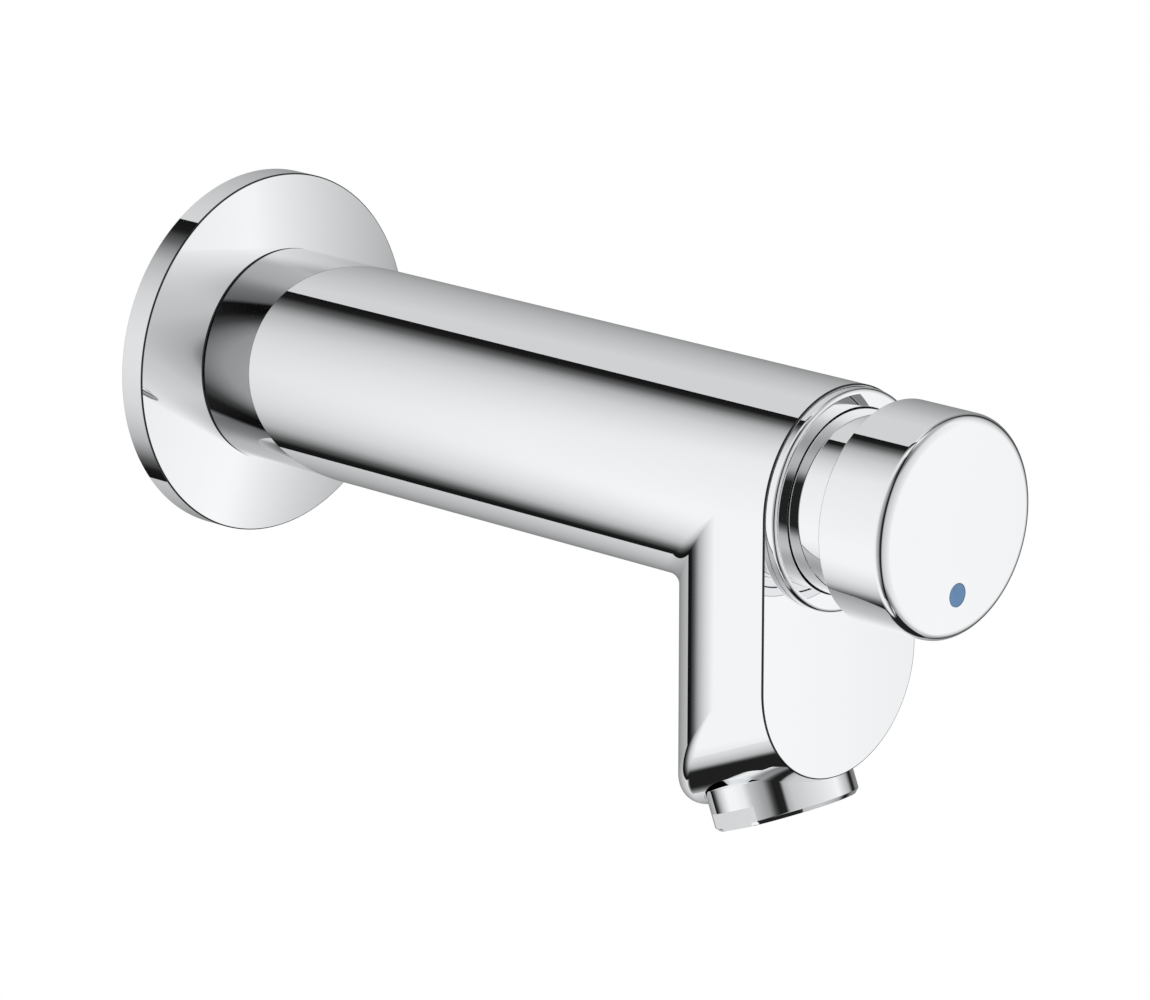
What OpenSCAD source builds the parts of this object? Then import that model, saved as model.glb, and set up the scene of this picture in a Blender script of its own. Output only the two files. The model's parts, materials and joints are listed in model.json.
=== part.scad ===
// Wall-mounted push timed tap: a round barrel on a domed wall plate, a flat-fronted spout with a tilted
// aerator, and a large sprung push button on its nose. Sizes are in millimetres. The origin lies
// in the wall's surface on the barrel's axis, +Z is up and the tap reaches out along -Y.

/* [Wall plate] */
// Diameter of the wall plate
plate_d = 70; // [60:1:90]
// How far the wall plate's rim stands off the wall
plate_depth = 5.5; // [5:0.1:9]
// Radius of the shallow dome of the wall plate's face
plate_dome = 240; // [160:5:600]
// Thickness of the wall plate's metal
plate_wall = 1.5; // [0.8:0.1:2]
// Bevel of the wall plate's front edge
plate_bevel = 0.3; // [0.2:0.1:0.8]
// Width of the foam gasket behind the wall plate
foam_w = 5; // [3:0.5:10]

/* [Wall connection] */
// Major diameter of the G 1/2 thread that goes into the wall
inlet_thread_d = 20.955; // [20:0.005:27]
// Length of that thread
inlet_thread_len = 15; // [10:1:25]
// Lead-in bevel of that thread
inlet_lead = 1; // [0.5:0.1:2]
// Hexagon of the nipple across its flats
nipple_hex = 27; // [25:1:30]
// Diameter of the spigot that the body slides on
spigot_d = 24.8; // [23:0.2:27]
// Length of the spigot beyond the hexagon
spigot_len = 35; // [32:1:45]
// Diameter of the nipple's waterway
waterway_d = 11; // [8:0.5:11.5]
// Hexagon socket in the nipple's end, across its flats
key_flats = 12; // [11:0.5:14]
// Depth of that socket
key_depth = 8; // [4:0.5:12]
// Diameter of the lock screw
lock_d = 5; // [4:0.5:6]
// Distance of the lock screw from the barrel's rear end
lock_back = 16.5; // [14:0.5:18]
// Depth of the lock screw's groove in the spigot
lock_groove = 1.2; // [0.6:0.1:1.8]
// Diameter of the strainer's basket
strainer_d = 14.4; // [10:0.2:16]
// Width of the strainer's slots
strainer_slot = 1.2; // [0.8:0.1:2]
// Number of the strainer's slots
strainer_slots = 10; // [6:1:14]
// Length of the strainer's basket
strainer_len = 16; // [10:1:18]

/* [Body] */
// Diameter of the barrel, which is the spout's width too
barrel_d = 41.4; // [41:0.1:50]
// Distance from the wall to the flat front
reach = 150.5; // [148:0.5:220]
// Rounding of the barrel's rear edge
rear_round = 0.4; // [0.2:0.1:2]
// Depth of the spout from front to back
spout_depth = 31.6; // [30:0.1:40]
// Drop from the barrel's axis to the lowest point of the flat front
front_drop = 51.9; // [46:0.1:70]
// Tilt of the spout's underside and of the jet, in degrees
tilt = 22.5; // [15:0.5:28]
// Wall of the body round the cartridge's flange
front_wall = 2.3; // [1.6:0.1:4]
// Diameter of the water passage down the spout
passage_d = 10; // [6:0.5:11]

/* [Aerator] */
// Diameter of the aerator's housing
aerator_d = 27; // [26.4:0.1:29]
// Diameter of the aerator's thread
aerator_thread_d = 24; // [22:0.5:24.5]
// Length of that thread
aerator_thread_len = 7.8; // [6:0.1:9]
// Height of the housing below the thread
aerator_skirt = 10; // [8:0.5:11]
// How far the aerator stands out of the underside, on its middle line
aerator_proud = 4.4; // [2:0.1:6]
// Distance of the aerator's axis from the front edge, along the underside
aerator_setback = 14.7; // [14.4:0.1:20]
// Size across the aerator's wrench flats
wrench_flats = 24; // [23.5:0.1:26]
// Height of the wrench flats
wrench_h = 3.5; // [2:0.5:6]
// Direction of the wrench flats, in degrees from the side
wrench_turn = -8; // [-90:1:90]
// Bevel of the housing's lower edge
aerator_bevel = 0.8; // [0.3:0.1:1]
// Height of the slope at the housing's upper edge
aerator_slope = 2.2; // [1:0.1:3]
// Thickness of the lip under the aerator's insert
aerator_lip = 1.2; // [0.8:0.1:2]
// Length of the aerator's insert
insert_len = 11; // [8:0.5:12]
// Thickness of the aerator's gasket
aerator_gasket_h = 1.8; // [1:0.1:2.5]
// Diameter of the jets in the aerator's insert
jet_d = 2; // [1:0.1:2.4]
// Distance between the jets
jet_pitch = 3; // [2.8:0.1:4]

/* [Cartridge] */
// Diameter of the cartridge sleeve's seats in the body
sleeve_d = 31; // [29:0.5:32]
// Diameter of the sleeve between its seats
sleeve_waist_d = 27.6; // [26:0.2:28]
// Diameter of the timing cylinder inside the sleeve
cylinder_d = 22; // [20:0.5:23]
// Thickness of the sleeve's front flange
flange_t = 4; // [3.5:0.5:6]
// Diameter of the stem
stem_d = 6; // [5:0.5:7]
// Diameter of the valve seat's hole
seat_hole_d = 11; // [10:0.5:12]
// Length of the valve seat
seat_len = 4; // [3:0.5:6]
// Length of the outlet chamber in the sleeve
outlet_len = 6; // [5:0.5:10]
// Diameter of the flow windows in the sleeve
window_d = 4.4; // [2:0.2:5]
// Number of flow windows
windows = 6; // [3:1:8]
// Thickness of the sleeve's partition
partition_t = 3; // [2.6:0.1:5]
// Length of the return spring at rest
spring_len = 19.8; // [18:0.1:24]
// Diameter of the spring's coil, from wire middle to wire middle
spring_d = 15; // [13.5:0.5:18]
// Diameter of the spring's wire
spring_wire = 1.3; // [0.8:0.1:1.4]
// Number of the spring's turns
spring_turns = 6; // [4:1:7]
// Length of the timing piston
piston_len = 6; // [5:0.5:9]
// Diameter of the bleed needle
needle_d = 0.7; // [0.5:0.1:0.8]
// Length of the guide bush
bush_len = 7.8; // [6:0.1:10]
// Thickness of the seat washer
washer_t = 2.4; // [1.6:0.1:4]
// Thickness of the washer's holder
holder_t = 2.4; // [1.6:0.1:4]
// Cord thickness of the O-rings
cord_d = 1.8; // [1.4:0.1:2]

/* [Button] */
// How far the button's side lies inside the collar's
button_inset = 0; // [0:0.1:2]
// Length of the push button
button_len = 14.7; // [12:0.1:20]
// Rounding of the button's front edge
button_round = 2; // [0.5:0.1:2.2]
// Thickness of the button cap's wall
cap_wall = 1.65; // [1:0.05:2]
// Gap between the button's neck and the collar's bore
neck_gap = 0.2; // [0.1:0.05:0.6]
// Wall of the button's neck
neck_wall = 1.8; // [1.2:0.1:2.5]
// Gap between the collar and the button
button_gap = 10; // [9.5:0.1:16]
// How far the neck reaches in behind the collar's front
neck_insert = 5.2; // [4:0.1:8]
// Push travel of the button
travel = 8; // [4:0.5:9]
// Diameter of the colour dot
dot_d = 4.3; // [3:0.1:6]
// Distance of the colour dot below the button's middle
dot_drop = 12.1; // [6:0.1:14]

/* [Collar] */
// How far the collar's side lies inside the barrel's
collar_inset = 0.35; // [0.1:0.05:1.1]
// How far the collar stands out of the flat front
collar_proud = 2.2; // [1.6:0.1:4]
// Rounding of the collar's front edge
collar_round = 1; // [0.3:0.1:1.5]
// Thickness of the collar's front lip, which covers the neck guide
collar_step = 1.4; // [0.6:0.1:1.5]
// Width of that lip
collar_ledge = 0.5; // [0.3:0.1:1]
// Wall of the collar's spigot round the neck guide
spigot_wall = 0.8; // [0.6:0.1:1.5]

/* [Clearances] */
// Radial gap between fixed pieces
fit_gap = 0.1; // [0.05:0.01:0.15]
// Radial gap between sliding pieces
run_gap = 0.06; // [0.03:0.01:0.1]
// Gap between the neck and the sleeve with the button pressed
stop_gap = 1; // [0.5:0.1:3]

/* [Hidden] */
$fn = 96;
cut = 1;
cord_gap = 0.05;
barrel_r = barrel_d / 2;
// Width of the groove round an O-ring
groove_slack = 0.8;
groove_w = cord_d + groove_slack;

// The wall plate's face: a dome that is flat under the barrel
plate_r = plate_d / 2;
function dome_drop(r) = plate_dome - sqrt(plate_dome * plate_dome - r * r);
function plate_face(r) = plate_depth + dome_drop(plate_r) - dome_drop(max(r, barrel_r));
plate_seat = plate_face(barrel_r);

// Places along the barrel's axis, measured out from the wall
body_rear = plate_seat + fit_gap;
hex_sunk = 0.5;
hex_front = plate_seat - hex_sunk;
spigot_front = hex_front + spigot_len;
strainer_flange_t = 1.8;
socket_front = spigot_front + strainer_flange_t + 2 * fit_gap;
collar_front = reach + collar_proud;
ledge_at = collar_front - collar_step;
button_rear = collar_front + button_gap;
button_front = button_rear + button_len;
neck_rear = collar_front - neck_insert;
sleeve_front = neck_rear - travel - stop_gap;
flange_rear = sleeve_front - flange_t;
snap_t = 1;
snap_bite = 0.5;
partition_seal_t = 2;
snap_front = sleeve_front - snap_t;
snap_rear = snap_front - snap_t;
bush_front = snap_rear - fit_gap;
bush_rear = bush_front - bush_len;
cylinder_front = bush_rear - fit_gap;
shoulder_t = 1;
piston_play = 2;
piston_front = cylinder_front - piston_play - shoulder_t;
piston_rear = piston_front - piston_len;
partition_front = piston_rear - spring_len - 2 * fit_gap;
partition_rear = partition_front - partition_t;
// Share of the partition's thickness that the bleed needle goes into
needle_share = 0.8;
needle_rear = partition_front - needle_share * partition_t;
seat_front = partition_rear - outlet_len;
seat_rear = seat_front - seat_len;
seat_lip = 0.6;
seat_inset = 1.8;
sleeve_rear = seat_rear - seat_inset;
washer_front = seat_rear - seat_lip - fit_gap;
washer_rear = washer_front - washer_t;
holder_rear = washer_rear - holder_t;
stem_nut_t = 3;
stem_nut_rear = holder_rear - stem_nut_t;
stem_tip = 0.5;
stem_rear = stem_nut_rear - stem_tip;
stem_room = 3;
inlet_chamber_rear = stem_rear - travel - stem_room;

// Radii round the barrel's axis
spigot_r = spigot_d / 2;
socket_r = spigot_r + fit_gap;
groove_floor = spigot_r - cord_d;
sleeve_r = sleeve_d / 2;
chamber_r = sleeve_r + fit_gap;
waist_r = sleeve_waist_d / 2;
cylinder_r = cylinder_d / 2;
counterbore_r = barrel_r - front_wall;
flange_r = counterbore_r - fit_gap;
stem_r = stem_d / 2;
stem_step = 0.5;
stem_end_r = stem_r - stem_step;
seat_hole_r = seat_hole_d / 2;
seat_step = 1.1;
seat_r = cylinder_r - seat_step;
bush_step = 1.4;
bush_r = cylinder_r + bush_step;
washer_lap = 1.9;
washer_r = seat_hole_r + washer_lap;
holder_wall = 0.7;
holder_r = washer_r + cord_gap + holder_wall;
holder_room = 3.9;
inlet_chamber_r = holder_r + holder_room;
partition_seal_w = 2.4;
partition_seal_r = stem_r + partition_seal_w;
partition_pocket_r = partition_seal_r + cord_gap;
// The bleed needle stands midway between the partition's seal and the spring
bleed_off = (partition_pocket_r + (spring_d - spring_wire) / 2) / 2;
strainer_wall = 0.7;
strainer_r = strainer_d / 2;
strainer_room = 0.8;
inlet_r = strainer_r + strainer_room;
hex_room = 0.4;
plate_hole_r = nipple_hex / 2 / cos(30) + hex_room;
collar_r = barrel_r - collar_inset;
guide_r = flange_r - spigot_wall;
collar_bore_r = guide_r - collar_ledge;
cap_r = collar_r - button_inset;
cap_bore_r = cap_r - cap_wall;
neck_flange_r = cap_bore_r - fit_gap;
// The neck runs in the collar and carries a flange in the cap, so the narrower of them sets it
neck_lip = 0.7;
neck_r = min(collar_bore_r - neck_gap, neck_flange_r - neck_lip);
neck_bore_r = neck_r - neck_wall;

// The button's inner pieces
web_t = 6;
neck_flange_t = 3.4;
neck_flange_sunk = 0.2;
neck_flange_rear = button_rear + neck_flange_sunk;
neck_flange_front = neck_flange_rear + neck_flange_t;
web_rear = neck_flange_front - web_t;
button_nut_t = 3;
button_nut_front = neck_flange_front + fit_gap + button_nut_t;
stem_end = 0.8;
stem_front = button_nut_front + stem_end;
cap_face_t = 2;
cap_cord_d = 1.4;
dot_t = 0.8;

// The base seal between the barrel and the wall plate
base_seal_t = 1;
base_seal_w = 1.8;
base_seal_off = 0.6;
base_seal_in = plate_hole_r + base_seal_off;

// The spout: its rear is half a cylinder as wide as the barrel
spout_rear = reach - spout_depth;
spout_axis = spout_rear + barrel_r;
arc_drop = front_drop - barrel_r;
column_len = front_drop + spout_depth * tan(tilt) + cut;
passage_r = passage_d / 2;
passage_at = flange_rear - cut - passage_r;
// The passage ends this far above the front's lowest point, inside the aerator's socket
passage_short = 4;
passage_low = front_drop - passage_short;

// The aerator, measured up its own axis from its rim
aerator_r = aerator_d / 2;
aerator_thread_r = aerator_thread_d / 2;
aerator_top = aerator_skirt + fit_gap + aerator_thread_len;
aerator_socket_top = aerator_top + aerator_gasket_h + 2 * fit_gap;
aerator_wall = 1.4;
aerator_bore_r = aerator_thread_r - aerator_wall;
aerator_ledge = 1.1;
aerator_mouth_r = aerator_bore_r - aerator_ledge;
insert_r = aerator_bore_r - fit_gap;
insert_bottom = aerator_lip + fit_gap;
insert_top = insert_bottom + insert_len;
insert_floor = 3;
screen_t = 1.2;
jet_rings = 2;

chrome = [0.86, 0.87, 0.88];
brass = [0.80, 0.66, 0.36];
steel = [0.66, 0.67, 0.69];
rubber = [0.10, 0.10, 0.11];
white_plastic = [0.92, 0.92, 0.90];
grey_plastic = [0.55, 0.57, 0.60];

// Points of a round corner in a turned profile, from angle a0 to a1
function corner(centre, r, a0, a1, steps = 6) = [
    for (i = [0:steps])
        let (a = a0 + (a1 - a0) * i / steps)
        centre + r * [cos(a), sin(a)]
];

// Turns its children's +Z to point out from the wall, with their +Y up
module outward() {
    rotate([90, 0, 0])
    children();
}

// A turned piece: points are [radius, distance from the wall]
module turned(points) {
    outward()
    rotate_extrude()
    polygon(points);
}

module ring(r_in, r_out, from, to) {
    turned([[r_in, from], [r_out, from], [r_out, to], [r_in, to]]);
}

module rod(r, from, to) {
    outward()
    translate([0, 0, from])
    cylinder(r = r, h = to - from);
}

module hexagon(flats, from, to) {
    outward()
    translate([0, 0, from])
    cylinder(r = flats / 2 / cos(30), h = to - from, $fn = 6);
}

module nut(flats, hole_r, from, to) {
    difference() {
        hexagon(flats, from, to);
        rod(hole_r, from - cut, to + cut);
    }
}

module o_ring(floor_r, at, cord = cord_d) {
    outward()
    translate([0, 0, at])
    rotate_extrude()
    translate([floor_r + cord_gap + cord / 2, 0])
    circle(d = cord);
}

// An outside groove cut round a turned piece
module groove(floor_r, outer_r, at, width) {
    ring(floor_r, outer_r + cut, at - width / 2, at + width / 2);
}

// Moves its children to the aerator's rim, with +Z up the aerator's axis
module at_aerator() {
    back = aerator_setback;
    foot = [0, -reach + back * cos(tilt), -front_drop - back * sin(tilt)];
    translate(foot + aerator_proud * [0, -sin(tilt), -cos(tilt)])
    rotate([-tilt, 0, 0])
    children();
}

// Points of the wall plate's dome from one radius to another, set back by a depth
function dome_points(from, to, depth, steps = 10) = [
    for (i = [0:steps])
        let (r = from + (to - from) * i / steps)
        [r, plate_face(r) - depth]
];

module wall_plate() {
    rim_r = plate_r - plate_wall;
    color(chrome)
    turned(concat(
        [[rim_r, 0], [plate_r, 0], [plate_r, plate_depth - plate_bevel]],
        dome_points(plate_r - plate_bevel, barrel_r, 0),
        [[plate_hole_r, plate_seat], [plate_hole_r, plate_seat - plate_wall]],
        dome_points(barrel_r, rim_r, plate_wall)
    ));
}

module plate_gasket() {
    outer = plate_r - plate_wall - fit_gap;
    inner = outer - foam_w;
    behind = plate_wall + fit_gap;
    color(rubber)
    turned([
        [inner, 0],
        [outer, 0],
        [outer, plate_face(outer) - behind],
        [inner, plate_face(inner) - behind]
    ]);
}

groove_land = 3;
groove_end = 4;
nipple_groove_near = spigot_front - key_depth - groove_land;
nipple_groove_far = spigot_front - groove_end;
lock_at = body_rear + lock_back;
lock_floor = spigot_r - lock_groove;
lock_play = 0.4;

module wall_nipple() {
    thread_r = inlet_thread_d / 2;
    color(brass)
    difference() {
        union() {
            turned([
                [0, -inlet_thread_len],
                [thread_r - inlet_lead, -inlet_thread_len],
                [thread_r, inlet_lead - inlet_thread_len],
                [thread_r, 0],
                [0, 0]
            ]);
            hexagon(nipple_hex, 0, hex_front);
            rod(spigot_r, hex_front, spigot_front);
        }
        rod(waterway_d / 2, -inlet_thread_len - cut, spigot_front + cut);
        hexagon(key_flats, spigot_front - key_depth, spigot_front + cut);
        groove(groove_floor, spigot_r, nipple_groove_near, groove_w);
        groove(groove_floor, spigot_r, nipple_groove_far, groove_w);
        groove(lock_floor, spigot_r, lock_at, lock_d + lock_play);
    }
}

module nipple_o_rings() {
    color(rubber) {
        o_ring(groove_floor, nipple_groove_near);
        o_ring(groove_floor, nipple_groove_far);
    }
}

module inlet_strainer() {
    flange_back = spigot_front + fit_gap;
    flange_face = flange_back + strainer_flange_t;
    basket_front = flange_face + strainer_len;
    bore_r = strainer_r - strainer_wall;
    land = 2;
    color(white_plastic)
    difference() {
        union() {
            rod(spigot_r - fit_gap, flange_back, flange_face);
            rod(strainer_r, flange_face, basket_front);
        }
        rod(bore_r, flange_back - cut, basket_front - strainer_wall);
        for (i = [0:strainer_slots - 1])
            outward()
            rotate(360 / strainer_slots * i)
            translate([0, -strainer_slot / 2, flange_face + land])
            cube([strainer_r + cut, strainer_slot, strainer_len - 2 * land]);
    }
}

// Plan of the spout: flat sides in front and half a circle behind
module spout_plan() {
    translate([0, -spout_axis])
    circle(barrel_r);
    translate([-barrel_r, -reach])
    square([barrel_d, reach - spout_axis]);
}

// The flat front's outline, carried back and down at the tilt
module spout_underside() {
    slope = [[1, 0, 0, 0], [0, 1, 0, 0], [0, -tan(tilt), 1, 0], [0, 0, 0, 1]];
    run = spout_depth + cut;
    translate([0, -reach, 0])
    multmatrix(slope)
    rotate([90, 0, 0])
    translate([0, 0, -run])
    linear_extrude(run)
    union() {
        translate([0, -arc_drop])
        circle(barrel_r);
        translate([-barrel_r, -arc_drop])
        square([barrel_d, arc_drop + column_len]);
    }
}

module spout() {
    intersection() {
        translate([0, 0, -column_len])
        linear_extrude(column_len)
        spout_plan();
        spout_underside();
    }
}

module barrel() {
    rear_corner = corner([barrel_r - rear_round, body_rear + rear_round], rear_round, -90, 0);
    turned(concat([[0, body_rear]], rear_corner, [[barrel_r, reach], [0, reach]]));
}

module tap_body() {
    lock_hole_r = lock_d / 2 + fit_gap;
    color(chrome)
    difference() {
        union() {
            barrel();
            spout();
        }
        rod(socket_r, body_rear - cut, socket_front);
        rod(inlet_r, body_rear, inlet_chamber_rear + cut);
        rod(inlet_chamber_r, inlet_chamber_rear, sleeve_rear);
        rod(chamber_r, sleeve_rear - fit_gap, flange_rear);
        rod(counterbore_r, flange_rear - fit_gap, reach + cut);
        ring(
            base_seal_in - cord_gap,
            base_seal_in + base_seal_w + cord_gap,
            body_rear - cut,
            plate_seat + base_seal_t + cord_gap
        );
        translate([0, -lock_at, -barrel_r - cut])
        cylinder(r = lock_hole_r, h = barrel_r);
        translate([0, -passage_at, -passage_low])
        cylinder(r = passage_r, h = passage_low);
        at_aerator() {
            translate([0, 0, -aerator_skirt])
            cylinder(r = aerator_r + 3 * fit_gap, h = 2 * aerator_skirt + fit_gap);
            cylinder(r = aerator_thread_r + fit_gap, h = aerator_socket_top);
        }
    }
}

module base_seal() {
    color(rubber)
    ring(base_seal_in, base_seal_in + base_seal_w, plate_seat, plate_seat + base_seal_t);
}

module lock_screw() {
    key_r = lock_d / 4 / cos(30);
    tip = lock_floor + fit_gap;
    sunk = 1.2;
    head = barrel_r - sunk;
    color(steel)
    translate([0, -lock_at, -head])
    difference() {
        cylinder(r = lock_d / 2, h = head - tip);
        translate([0, 0, -cut])
        cylinder(r = key_r, h = lock_d / 2 + cut, $fn = 6);
    }
}

sleeve_land = 1.3;
sleeve_groove_rear = sleeve_rear + sleeve_land + groove_w / 2;
sleeve_groove_front = flange_rear + flange_t / 2;

module cartridge_sleeve() {
    waist_rear = sleeve_groove_rear + groove_w / 2 + sleeve_land;
    shoulder = 0.4;
    waist_front = flange_rear - shoulder;
    seat_stop = 0.6;
    pocket_r = seat_r + fit_gap;
    window_at = (seat_front + partition_rear) / 2;
    color(brass)
    difference() {
        union() {
            rod(sleeve_r, sleeve_rear, waist_rear);
            rod(waist_r, waist_rear, waist_front);
            rod(sleeve_r, waist_front, flange_rear);
            rod(flange_r, flange_rear, sleeve_front);
        }
        rod(pocket_r, sleeve_rear - cut, seat_front);
        rod(pocket_r - seat_stop, seat_front - cut, partition_rear);
        rod(stem_r + run_gap, partition_rear - cut, partition_front + cut);
        rod(partition_pocket_r, partition_front - partition_seal_t, partition_front + cut);
        rod(cylinder_r, partition_front, sleeve_front + cut);
        rod(bush_r + fit_gap, cylinder_front, sleeve_front + cut);
        rod(bush_r + snap_bite + fit_gap, snap_rear - cord_gap, snap_front + cord_gap);
        groove(sleeve_r - cord_d, sleeve_r, sleeve_groove_rear, groove_w);
        groove(flange_r - cord_d, flange_r, sleeve_groove_front, groove_w);
        outward()
        translate([0, bleed_off, needle_rear - fit_gap])
        cylinder(d = needle_d + 2 * cord_gap, h = partition_t);
        for (i = [0:windows - 1])
            outward()
            translate([0, 0, window_at])
            rotate([90, 0, 360 / windows * i])
            cylinder(d = window_d, h = sleeve_r);
    }
}

module sleeve_o_rings() {
    color(rubber) {
        o_ring(sleeve_r - cord_d, sleeve_groove_rear);
        o_ring(flange_r - cord_d, sleeve_groove_front);
    }
}

module valve_seat() {
    lip_w = 1.2;
    color(brass) {
        ring(seat_hole_r, seat_r, seat_rear, seat_front - fit_gap);
        ring(seat_hole_r, seat_hole_r + lip_w, seat_rear - seat_lip, seat_rear);
    }
}

module seat_washer() {
    color(rubber)
    ring(stem_r + cord_gap, washer_r, washer_rear, washer_front);
}

module washer_holder() {
    rim_front = washer_front - washer_t / 3;
    color(brass)
    turned([
        [stem_r + cord_gap, holder_rear],
        [holder_r, holder_rear],
        [holder_r, rim_front],
        [holder_r - holder_wall, rim_front],
        [holder_r - holder_wall, washer_rear],
        [stem_r + cord_gap, washer_rear]
    ]);
}

module stem_nut() {
    rim = 2;
    color(steel)
    nut(stem_d + 2 * rim, stem_r + cord_gap, stem_nut_rear, holder_rear - cord_gap);
}

clip_t = 0.8;
clip_front = piston_rear - cord_gap;
clip_rear = clip_front - clip_t;
clip_bite = 0.6;
clip_floor = stem_r - clip_bite;

module stem() {
    shoulder_w = 1;
    shoulder_r = stem_r + shoulder_w;
    color(steel)
    difference() {
        union() {
            rod(stem_r, stem_rear, web_rear);
            rod(stem_end_r, web_rear, stem_front);
            rod(shoulder_r, piston_front + cord_gap, piston_front + shoulder_t);
        }
        ring(clip_floor, stem_r + cut, clip_rear - cord_gap, clip_front + cord_gap);
    }
}

module partition_seal() {
    color(rubber)
    ring(
        stem_r + run_gap,
        partition_seal_r,
        partition_front - partition_seal_t + cord_gap,
        partition_front
    );
}

// Points along the spring's wire, and the wire's tube as one closed surface
spring_steps = 16;
spring_sides = 8;
spring_rings = spring_turns * spring_steps;
spring_low = partition_front + fit_gap + spring_wire / 2;
spring_rise = spring_len - spring_wire;
function spring_point(i) = [
    spring_d / 2 * cos(360 * i / spring_steps),
    spring_d / 2 * sin(360 * i / spring_steps),
    spring_low + spring_rise * i / spring_rings
];
function spring_skin(i, j) =
    let (a = 360 * i / spring_steps, b = 360 * j / spring_sides, w = spring_wire / 2)
    spring_point(i) + w * cos(b) * [cos(a), sin(a), 0] + w * sin(b) * [0, 0, 1];
spring_gap = spring_rise / spring_turns - spring_wire;
echo("least gap between the spring's turns", spring_gap);

module return_spring() {
    n = spring_sides;
    last = spring_rings * n;
    points = [for (i = [0:spring_rings]) for (j = [0:n - 1]) spring_skin(i, j)];
    sides = [
        for (i = [0:spring_rings - 1])
            for (j = [0:n - 1])
                let (a = i * n + j, b = i * n + (j + 1) % n)
                each [[a, b, b + n], [a, b + n, a + n]]
    ];
    caps = [
        for (j = [1:n - 2])
            each [[0, j + 1, j], [last, last + j, last + j + 1]]
    ];
    color(steel)
    outward()
    polyhedron(points, [for (f = concat(sides, caps)) [f[0], f[2], f[1]]]);
}

piston_gap = 0.15;
piston_r = cylinder_r - piston_gap;
lip_w = 2.6;
lip_depth = 2.3;
lip_floor = piston_r - lip_depth;
lip_at = piston_rear + piston_len / 2;

module timing_piston() {
    color(white_plastic)
    difference() {
        ring(stem_r + cord_gap, piston_r, piston_rear, piston_front);
        groove(lip_floor, piston_r, lip_at, lip_w);
        outward()
        translate([0, bleed_off, piston_rear - cut])
        cylinder(d = needle_d + 2 * piston_gap, h = piston_len + 2 * cut);
    }
}

module piston_lip_seal() {
    low = lip_at - lip_w / 2 + cord_gap;
    high = lip_at + lip_w / 2 - cord_gap;
    floor_r = lip_floor + cord_gap;
    lip_r = cylinder_r - run_gap;
    lip_t = 0.7;
    web = low + 1;
    color(rubber)
    turned([
        [floor_r, low],
        [lip_r - lip_t, low],
        [lip_r, low + lip_t],
        [lip_r, high],
        [lip_r - lip_t, high],
        [lip_r - lip_t, web],
        [floor_r + lip_t, web],
        [floor_r + lip_t, high],
        [floor_r, high]
    ]);
}

module bleed_needle() {
    color(steel)
    outward()
    translate([0, bleed_off, needle_rear])
    cylinder(d = needle_d, h = piston_front + shoulder_t - needle_rear);
}

module piston_clip() {
    clip_w = 1.4;
    mouth_w = 1.4 * stem_r;
    color(steel)
    difference() {
        ring(clip_floor + cord_gap, stem_r + clip_w, clip_rear, clip_front);
        outward()
        translate([-mouth_w / 2, -stem_d, clip_rear - cut])
        cube([mouth_w, stem_d, clip_t + 2 * cut]);
    }
}

stem_seal_t = 2;
stem_seal_w = 2;
stem_groove_rear = bush_rear + (bush_len - stem_seal_t) / 2;

module guide_bush() {
    color(white_plastic)
    difference() {
        ring(stem_r + run_gap, bush_r, bush_rear, bush_front);
        rod(stem_r + stem_seal_w + cord_gap, stem_groove_rear, stem_groove_rear + stem_seal_t);
    }
}

module stem_seal() {
    color(rubber)
    ring(
        stem_r + run_gap,
        stem_r + stem_seal_w,
        stem_groove_rear + cord_gap,
        stem_groove_rear + stem_seal_t - cord_gap
    );
}

module snap_ring() {
    mouth_w = 4;
    color(steel)
    difference() {
        ring(bush_r - bush_step, bush_r + snap_bite, snap_rear, snap_front);
        outward()
        translate([-mouth_w / 2, 0, snap_rear - cut])
        cube([mouth_w, bush_r + snap_bite + cut, snap_t + 2 * cut]);
    }
}

collar_lip = 0.7;
collar_seal_in = counterbore_r + 3 * fit_gap;
collar_seal_out = collar_r - collar_lip;
collar_seal_t = 0.6;

module retaining_collar() {
    spigot_rear = sleeve_front + fit_gap;
    face = reach + cord_gap;
    round_at = [collar_r - collar_round, collar_front - collar_round];
    color(chrome)
    turned(concat(
        [
            [guide_r, spigot_rear],
            [flange_r, spigot_rear],
            [flange_r, face],
            [collar_seal_in - cord_gap, face],
            [collar_seal_in - cord_gap, reach + collar_seal_t + cord_gap],
            [collar_seal_out + cord_gap, reach + collar_seal_t + cord_gap],
            [collar_seal_out + cord_gap, face],
            [collar_r, face]
        ],
        corner(round_at, collar_round, 0, 90),
        [
            [collar_bore_r, collar_front],
            [collar_bore_r, ledge_at],
            [guide_r, ledge_at]
        ]
    ));
}

module collar_seal() {
    color(rubber)
    ring(collar_seal_in, collar_seal_out, reach, reach + collar_seal_t);
}

module neck_guide() {
    color(grey_plastic)
    ring(
        neck_r + run_gap,
        guide_r - cord_gap,
        sleeve_front + 2 * fit_gap,
        ledge_at - cord_gap
    );
}

cap_groove_at = (neck_flange_rear + neck_flange_front) / 2;
cap_groove_floor = neck_flange_r - cap_cord_d;

module button_neck() {
    color(chrome)
    difference() {
        union() {
            ring(neck_bore_r, neck_r, neck_rear, neck_flange_front);
            ring(stem_end_r + cord_gap, neck_bore_r + cut, web_rear, neck_flange_front);
            ring(neck_r - cut, neck_flange_r, neck_flange_rear, neck_flange_front);
        }
        groove(cap_groove_floor, neck_flange_r, cap_groove_at, cap_cord_d + 3 * fit_gap);
    }
}

module button_nut() {
    rim = 2;
    color(steel)
    nut(2 * (stem_end_r + rim), stem_end_r + cord_gap, neck_flange_front + fit_gap, button_nut_front);
}

module cap_ring() {
    color(rubber)
    o_ring(cap_groove_floor, cap_groove_at, cap_cord_d);
}

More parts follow.
